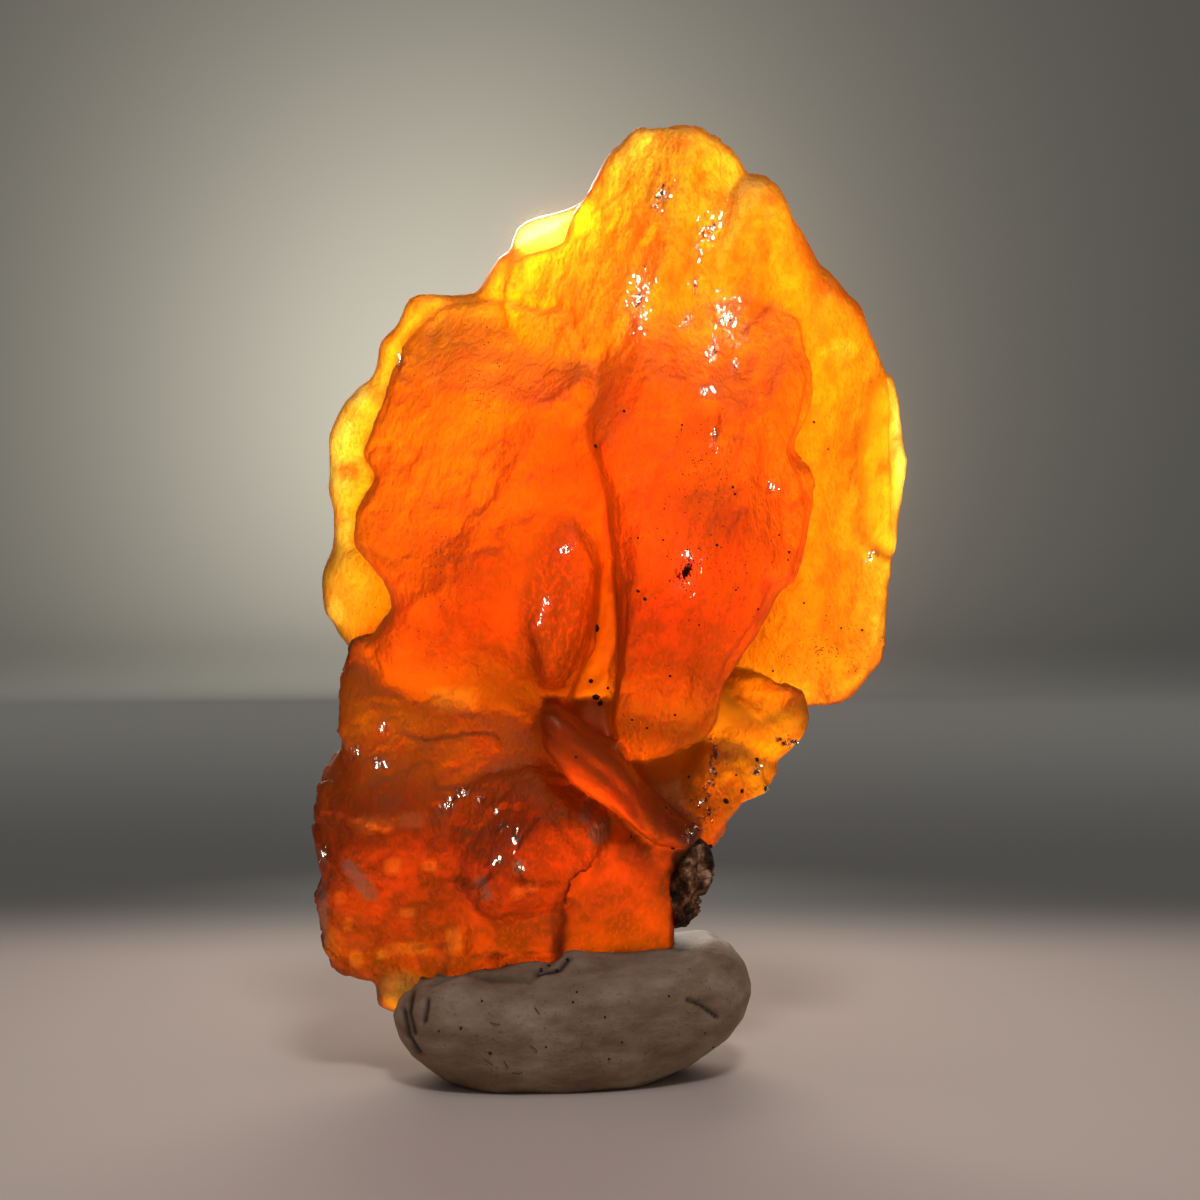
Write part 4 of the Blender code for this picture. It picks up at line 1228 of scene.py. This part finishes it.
def mirror_ways(places):
    """The direction halfway between the eye and the lamp, in which a facet sends the lamp's light to the eye."""
    return unit(unit(np.array(EYE) / MM - places) + unit(np.array(KEY_PLACE) - places))


def between_sizes(low, high, count):
    """Random sizes for many copies, most of them small, between two triples."""
    return np.array(low) + (np.array(high) - low) * chance.uniform(0, 1, (count, 3)) ** 1.6


print("small shapes ready")

# %% [markdown]
# Square tablets glitter in the clusters, turned so that most of them mirror the lamp. Small blocks make the druse
# in the same way. Black grains and dust lie on the crystal, at the back too, and specks of dirt on the putty.

# %% Tablets, druse, grains and specks
TABLET_SIZES = (0.015, 0.03, 0.01), (0.07, 0.20, 0.02)
BLOCK_SIZES = (0.03, 0.03, 0.04), (0.10, 0.10, 0.10)
DUST_SIZES = (0.014, 0.014, 0.014), (0.040, 0.034, 0.030)
BACK_GRAIN_SIZES = (0.02, 0.02, 0.02), (0.13, 0.11, 0.08)
PIXELS_A_TABLET, MOST_OF_TABLETS, MOST_OF_BLOCKS = 4, 0.85, 0.7
tablet, block, lump = small_shape(4, 2, 0.1), small_shape(4, 2, 0.25), small_shape(5, 2, 1.0)

glint_counts = [max(6, int(ellipse[2] * ellipse[3] / PIXELS_A_TABLET)) for ellipse in GLITTER_SEEN]
glint_pixels = [pixels_in(ellipse, count) for ellipse, count in zip(GLITTER_SEEN, glint_counts)]
glint_places, glint_skin = seats(crystal, np.concatenate(glint_pixels))
chosen = chance.uniform(0, 1, (len(glint_places), 1)) < MOST_OF_TABLETS
glint_ways = tilted(np.where(chosen, mirror_ways(glint_places), glint_skin), 5)
glints = strewn("glitter_tablets", tablet, glint_places + 0.02 * glint_skin, glint_ways,
                between_sizes(*TABLET_SIZES, len(glint_places)), spin=0.5)

druse_pixels = [along(DRUSE_SEEN, 110, 4, 15)] + [pixels_in(ellipse, 9) for ellipse in DRUSE_STEPS_SEEN]
druse_places, druse_skin = seats(crystal, np.concatenate(druse_pixels))
chosen = chance.uniform(0, 1, (len(druse_places), 1)) < MOST_OF_BLOCKS
druse_ways = np.where(chosen, mirror_ways(druse_places), tilted(druse_skin, 30))
druse = strewn("druse", block, druse_places + 0.03 * druse_skin, tilted(druse_ways, 6),
               between_sizes(*BLOCK_SIZES, len(druse_places)))

grain_places, grain_skin, grain_sizes = lumps_at(crystal, GRAINS_SEEN)
dust_places, dust_skin = seats(crystal, np.concatenate([pixels_in(place[:5], place[5]) for place in DUST_SEEN]))
back_places, back_skin = seats(crystal, pixels_in((600, 560, 230, 330, 0), 90), behind=True)
dark_places = np.concatenate([grain_places, dust_places, back_places])
dark_skin = np.concatenate([grain_skin, dust_skin, back_skin])
dark_sizes = np.concatenate([
    grain_sizes, between_sizes(*DUST_SIZES, len(dust_places)), between_sizes(*BACK_GRAIN_SIZES, len(back_places))])
grains = strewn("dark_grains", lump, dark_places, tilted(dark_skin, 40), dark_sizes)

speck_places, speck_skin, speck_sizes = lumps_at(putty, PUTTY_SPECKS_SEEN)
specks = strewn("putty_specks", lump, speck_places, tilted(speck_skin, 30), speck_sizes)
print(len(glint_places), "tablets,", len(druse_places), "druse blocks,", len(dark_places), "dark grains")

# %% [markdown]
# A thread is a tube round a curve through three places, with its radius falling to nothing at both ends. The
# tablets and the druse are glassy: a thin clear body that lets the glow through, under a coat that mirrors as
# wulfenite does. The body's own index is near 1, so that it doesn't darken what lies behind it.

# %% Threads and the looks of small things
THREAD_RADIUS, THREAD_LIFT = 0.016, 0.05


def thread_surface(places, rings=12, around=6):
    """Rings round a parabola from the first place to the last, drawn towards the middle one."""
    t = np.linspace(0, 1, rings + 2)[:, None]
    centre = (1 - t) ** 2 * places[0] + 2 * t * (1 - t) * places[1] + t ** 2 * places[2]
    axes = turned_to(unit(np.gradient(centre, axis=0)), np.zeros(rings + 2))
    u = np.linspace(0, 2 * math.pi, around, endpoint=False)
    ring = np.stack([np.cos(u), np.sin(u), np.zeros(around)])
    radius = THREAD_RADIUS * (4 * t * (1 - t)) ** 0.5
    points = centre[:, None] + radius[:, None] * (axes @ ring).transpose(0, 2, 1)
    rows = points[1:-1].reshape(-1, 3)
    return np.concatenate([centre[:1], rows, centre[-1:]]), grid_faces(rings, around)[:, ::-1]


def make_threads():
    """All threads on the putty in one mesh, each a little off the skin in its middle."""
    surfaces = []
    for pixels in THREADS_SEEN:
        places, ways = seats(putty, pixels)
        surfaces.append(thread_surface(places + ways * THREAD_LIFT * np.array([[0.2], [2.0], [0.2]])))
    starts = np.cumsum([0] + [len(points) for points, _ in surfaces[:-1]])
    points = np.concatenate([points for points, _ in surfaces]) * MM
    return mesh_object("putty_threads", points, np.concatenate([f + start for (_, f), start in zip(surfaces, starts)]))


glint_look = Look("glitter", Base_Color=(1.0, 0.75, 0.30), Roughness=0.10, IOR=1.05, Transmission_Weight=1.0,
                  Coat_Weight=0.8, Coat_IOR=WULFENITE_INDEX, Coat_Roughness=0.07)
druse_look = Look("druse", Base_Color=(1.0, 0.85, 0.40), Roughness=0.15, IOR=1.06, Transmission_Weight=1.0,
                  Coat_Weight=0.7, Coat_IOR=2.0, Coat_Roughness=0.08)
dark_look = Look("dark_grain", Base_Color=(0.016, 0.008, 0.004), Roughness=0.55)
thread_look = Look("thread", Base_Color=(0.045, 0.035, 0.030), Roughness=0.8)
threads = make_threads()
belongs(glints, glint_look.material, "wulfenite")
belongs(druse, druse_look.material, "wulfenite")
belongs(grains, dark_look.material, "host_rock")
belongs(specks, dark_look.material, "putty")
belongs(threads, thread_look.material, "putty")

# %% [markdown]
# One wide sweep of paper is floor and backdrop. It is pale under the part and dark behind it, and it turns up
# far behind, so that the part can be seen from the back too. Just before the bend it is lighter again, because
# there the lamp that lights the backdrop doesn't reach it, and the step would show.

# %% Floor and backdrop
FLOOR_COLOUR, WALL_COLOUR = (0.62, 0.51, 0.455), (0.22, 0.212, 0.198)
SWEEP = [(-900, 0), (104, 0), (118, 1.6), (134, 10), (148, 30), (158, 62), (166, 114), (172, 204), (176, 900)]
FLOOR_ENDS = (18.0, 33.0)
BEND_COLOUR, BEND_BETWEEN = (0.50, 0.483, 0.45), (36.0, 104.0, 122.0)
SWEEP_HALF_WIDTH = 900


def smooth_profile(points, steps=10):
    """More points between the given ones, each pair joined by a cubic that keeps the neighbours' slope."""
    points = np.array(points, float)
    before = np.concatenate([points[:1], points[:-1]])
    after = np.concatenate([points[1:], points[-1:]])
    slope = (after - before) / 2
    t = np.linspace(0, 1, steps, endpoint=False)[None, :, None]
    a, b, m, n = points[:-1, None], points[1:, None], slope[:-1, None], slope[1:, None]
    curve = (2 * t ** 3 - 3 * t ** 2 + 1) * a + (t ** 3 - 2 * t ** 2 + t) * m
    curve += (3 * t ** 2 - 2 * t ** 3) * b + (t ** 3 - t ** 2) * n
    return np.concatenate([curve.reshape(-1, 2), points[-1:]])


def make_sweep():
    """Floor and backdrop: a profile in y and z, drawn out sideways."""
    profile = smooth_profile(SWEEP[1:])
    profile = np.concatenate([[SWEEP[0]], profile])
    left = np.stack([np.full(len(profile), -SWEEP_HALF_WIDTH), *profile.T], axis=1)
    right = left * (-1, 1, 1)
    row = np.arange(len(profile) - 1)
    faces = np.stack([row, row + len(profile), row + len(profile) + 1, row + 1], axis=1)
    made = mesh_object("sweep", np.concatenate([left, right]) * MM, faces)
    look = Look("paper", Roughness=1.0, Specular_IOR_Level=0.0)
    depth = look.node("ShaderNodeSeparateXYZ", {}, {0: look.place()}, output="Y")
    colour = look.mix(look.between(depth, *FLOOR_ENDS), FLOOR_COLOUR, WALL_COLOUR)
    start, middle, end = BEND_BETWEEN
    bend = look.between(depth, start, middle) * look.between(depth, end, middle)
    look.feed(look.shader.inputs["Base Color"], look.mix(bend, colour, BEND_COLOUR))
    made.data.materials.append(look.material)
    return made


sweep = make_sweep()
print("sweep:", len(sweep.data.polygons), "faces")

# %% [markdown]
# The lamps stand in for the light behind the crystal, and the camera doesn't see them. A soft panel close behind
# shines through the mass, and a small narrow one makes the sliver at its top white-hot. One in front and above
# lights the glitter, a wide weak one overhead the rest, and one far behind makes the glow on the backdrop. A few
# bounces are enough, because rough faces have blurred the light by then.

# %% Studio light
WHITE = (1.0, 1.0, 1.0)
# For each panel: its place, what it faces and its width in mm, its radiance, its colour and its spread in degrees
PANELS = {
    "back_panel": ((-5, 44, 27), (-1, 0, 21), 44, 2.15, (1.0, 0.96, 0.88), 100),
    "sliver_panel": ((-3.4, 15, 30.4), (-2.1, 2, 28.9), 4, 11.0, (1.0, 0.97, 0.9), 18),
    "key_panel": (KEY_PLACE, (0, 0, 18), 40, 24.0, WHITE, 180),
    "top_panel": ((0, -40, 260), (0, -10, 0), 220, 0.8, WHITE, 180),
    "glow_panel": ((-13, 112, 36), (-15, 148, 31), 15, 58.0, (1.0, 0.98, 0.84), 180),
}
ROOM_LIGHT = 0.12
BOUNCES = {"max_bounces": 5, "transmission_bounces": 5, "diffuse_bounces": 2, "glossy_bounces": 3}
BLOOM = {"Threshold": 1.1, "Strength": 0.30, "Size": 0.25}


def panel(name, place, target, size, radiance, colour, spread):
    """A round soft light that the camera doesn't see: its power is pi times its area times its radiance."""
    lamp = bpy.data.lights.new(name, "AREA")
    lamp.shape = "DISK"
    lamp.size = size * MM
    lamp.energy = radiance * math.pi * math.pi * (size * MM / 2) ** 2
    lamp.color = colour
    lamp.spread = math.radians(spread)
    made = bpy.data.objects.new(name, lamp)
    bpy.context.scene.collection.objects.link(made)
    made.location = Vector(place) * MM
    way = Vector(target) * MM - made.location
    made.rotation_euler = way.to_track_quat("-Z", "Y").to_euler()
    made.visible_camera = False
    return made


def soft_halo():
    """A lens's faint bloom: what is brighter than white spills a little into its neighbours."""
    scene = bpy.context.scene
    scene.use_nodes = True
    nodes, links = scene.node_tree.nodes, scene.node_tree.links
    nodes.clear()
    picture, glare, result = (nodes.new("CompositorNode" + kind) for kind in ("RLayers", "Glare", "Composite"))
    glare.glare_type = "BLOOM"
    for socket, value in BLOOM.items():
        glare.inputs[socket].default_value = value
    links.new(picture.outputs["Image"], glare.inputs["Image"])
    links.new(glare.outputs["Image"], result.inputs["Image"])


def light_studio():
    """The lamps, the dim room round them, a plain tone curve and the number of bounces."""
    for name, values in PANELS.items():
        panel(name, *values)
    world = bpy.data.worlds.new("room")
    bpy.context.scene.world = world
    world.use_nodes = True
    world.node_tree.nodes["Background"].inputs["Color"].default_value = (*WHITE, 1.0)
    world.node_tree.nodes["Background"].inputs["Strength"].default_value = ROOM_LIGHT
    bpy.context.scene.view_settings.view_transform = "Standard"
    for kind, count in BOUNCES.items():
        setattr(bpy.context.scene.cycles, kind, count)


light_studio()
soft_halo()
print("studio:", len(PANELS), "panels")
